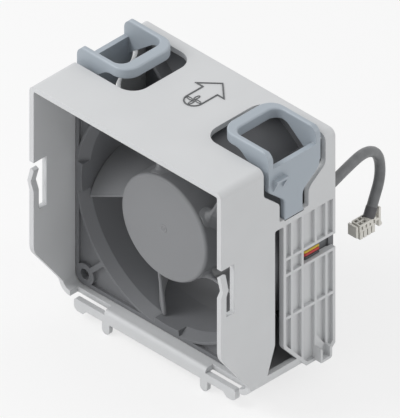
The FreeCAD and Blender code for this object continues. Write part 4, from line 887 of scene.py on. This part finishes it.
# %% [markdown]
# In the arrow's tail stands the usual sign for a fan: four leaves round a point. Each leaf is an
# ellipse, set a little to one side of its ray as a windmill's sail is, and that makes the sign
# seem to turn. One leaf is worked out and turned by a quarter three times.

# %% Fan sign
LEAF_COUNT = 4
LEAF_POINTS = 40
LEAF_MIDDLE = 1.75
LEAF_HALF_LENGTH = 1.6
LEAF_HALF_WIDTH = 0.66
LEAF_SIDEWAYS = 0.4
LEAF_LEAN_DEG = -2
LEAF_LINE = 0.25


def leaf(turn_deg):
    """An ellipse beside a ray from the sign's middle, turned about that middle.

    Along the ray a point is the leaf's middle plus half its length times the cosine, and across
    it the shift sideways plus half its width times the sine.
    """
    around = np.linspace(0, 2 * np.pi, LEAF_POINTS, endpoint=False)
    along = LEAF_MIDDLE + LEAF_HALF_LENGTH * np.cos(around)
    across = LEAF_SIDEWAYS + LEAF_HALF_WIDTH * np.sin(around)
    turn = math.radians(turn_deg)
    x = along * math.cos(turn) - across * math.sin(turn)
    y = along * math.sin(turn) + across * math.cos(turn)
    return np.column_stack([x, y + ARROW_TAIL_Y])


for index in range(LEAF_COUNT):
    outline = leaf(LEAF_LEAN_DEG + index * 360 / LEAF_COUNT)
    sign = raised_line(f"fan_sign_leaf_{index}", outline, LEAF_LINE)
    add_piece(sign, sign_ink, "carrier_body")
print("leaves", LEAF_COUNT)

# %% [markdown]
# The impeller is moulded through a gate in the middle of its hub. Where the plastic is broken off
# there, a small nub stays in a shallow ring. Its profile runs from the ring's outer foot over the
# rim and the dip to the nub's top. Spinning the profile with a modifier would work too, but the
# points are simple to work out, and the mesh then needs no clean-up afterwards.

# %% Gate nub on the hub
NUB_SIDES = 48
GATE_NUB = [
    (1.6, -0.1),
    (1.6, 0.06),
    (1.45, 0.12),
    (1.1, 0.12),
    (0.95, 0.02),
    (0.5, 0.02),
    (0.42, 0.14),
    (0.2, 0.18),
]


def turned(name, profile, centre, outward, count):
    """A profile of (radius, height) pairs turned about the outward direction at the centre.

    A point of it is the centre, plus the radius times a unit circle square to the direction, plus
    the height times the direction. The two ends are closed with flat faces.
    """
    profile = np.asarray(profile)
    angle = np.linspace(0, 2 * np.pi, count, endpoint=False)[:, None]
    direction = Vector(outward).normalized()
    first = direction.orthogonal().normalized()
    second = direction.cross(first)
    circle = np.cos(angle) * np.array(first) + np.sin(angle) * np.array(second)
    radius = profile[:, 0, None, None]
    height = profile[:, 1, None, None]
    points = (radius * circle + height * np.array(direction)).reshape(-1, 3) + np.array(centre)
    return mesh_piece(name, points * MM, ring_faces(len(profile), count))


nub = turned("hub_gate_nub", GATE_NUB, (0.0, HUB_FACE, FAN_AXIS_Z), (0, -1, 0), NUB_SIDES)
add_piece(nub, impeller_plastic, "rotor")
print("gate nub faces", len(nub.data.polygons))

# %% [markdown]
# The object stands in a plain, bright studio. A brighter sky would wash out its pale walls, so the
# light that falls on it and the white that is seen behind it are kept apart: Light Path tells a
# ray that the camera, a mirror or glass sends from one that only carries light, and the first
# kind finds pure white.

# %% World
SKY_LIGHT = 0.62
SKY_WHITE = 1.0


def seen_directly(graph):
    """One for rays from the camera or off a mirror or through glass, nought for light."""
    rays = ("Is Camera Ray", "Is Glossy Ray", "Is Transmission Ray")
    camera_ray, glossy, through = [graph.node("LightPath", {}, {}, output=ray) for ray in rays]
    return (camera_ray + glossy + through).clamped()


world = bpy.data.worlds.new("studio_sky")
bpy.context.scene.world = world
world.use_nodes = True
sky = Graph(world.node_tree)
light = sky.node("Background", {}, {"Color": WHITE, "Strength": SKY_LIGHT})
white = sky.node("Background", {}, {"Color": WHITE, "Strength": SKY_WHITE})
blend = sky.node("MixShader", {}, {0: seen_directly(sky), 1: light, 2: white})
sky.feed(sky.tree.nodes["World Output"].inputs["Surface"], blend)
print("sky light", SKY_LIGHT)

# %% [markdown]
# The floor shows where the module stands and holds its shadow. A plain white floor would turn grey
# under this soft sky. Part of it glows for the rays that see it directly, which lifts it to the
# background's white and leaves enough of its own surface for the shadow.

# %% Floor
FLOOR_HALF = 3.0
FLOOR_GREY = (0.84, 0.84, 0.84)
FLOOR_ROUGHNESS = 0.9
FLOOR_WHITE_SHARE = 0.72

floor_z = cad_bounds[0][2]
ways = ((-1, -1), (1, -1), (1, 1), (-1, 1))
floor_corners = [(x * FLOOR_HALF, y * FLOOR_HALF, floor_z) for x, y in ways]
floor = mesh_piece("studio_floor", floor_corners, [(0, 1, 2, 3)])
pale = Finish("pale_floor")
pale.set(Base_Color=FLOOR_GREY, Roughness=FLOOR_ROUGHNESS)
glow = pale.node("Emission", {}, {"Color": WHITE, "Strength": 1.0})
surface = Value(pale, pale.shader.outputs[0])
mixed = pale.node("MixShader", {}, {0: seen_directly(pale) * FLOOR_WHITE_SHARE, 1: surface, 2: glow})
pale.feed(pale.tree.nodes["Material Output"].inputs["Surface"], mixed)
floor.data.materials.append(pale.material)
print("floor at", round(floor_z / MM, 2))

# %% [markdown]
# A sky alone lights every side alike, and the form goes flat. One large lamp from the upper left
# of the front makes the walls differ in tone and gives a soft shadow, and a weak one from behind
# draws a light edge along the far side. Small lamps would make hard shadows.

# %% Lamps
OBJECT_MIDDLE = (0.0, 0.0, 0.05)
KEY_PLACE = (-0.45, -0.60, 0.75)
KEY_SIZE = 0.5
KEY_WATTS = 5.0
RIM_PLACE = (0.7, 0.5, 0.5)
RIM_SIZE = 0.4
RIM_WATTS = 1.2


def soft_lamp(name, place, aim, size, power):
    """A square lamp of this side in metres and power in watts that looks at a point."""
    data = bpy.data.lights.new(name, "AREA")
    data.shape = "SQUARE"
    data.size = size
    data.energy = power
    lamp = bpy.data.objects.new(name, data)
    bpy.context.scene.collection.objects.link(lamp)
    lamp.location = place
    lamp.rotation_euler = (Vector(place) - Vector(aim)).to_track_quat("Z", "Y").to_euler()
    return lamp


key = soft_lamp("key_lamp", KEY_PLACE, OBJECT_MIDDLE, KEY_SIZE, KEY_WATTS)
rim = soft_lamp("rim_lamp", RIM_PLACE, OBJECT_MIDDLE, RIM_SIZE, RIM_WATTS)
bpy.context.scene.view_settings.view_transform = "Standard"
print("lamps in watts", key.data.energy, rim.data.energy)
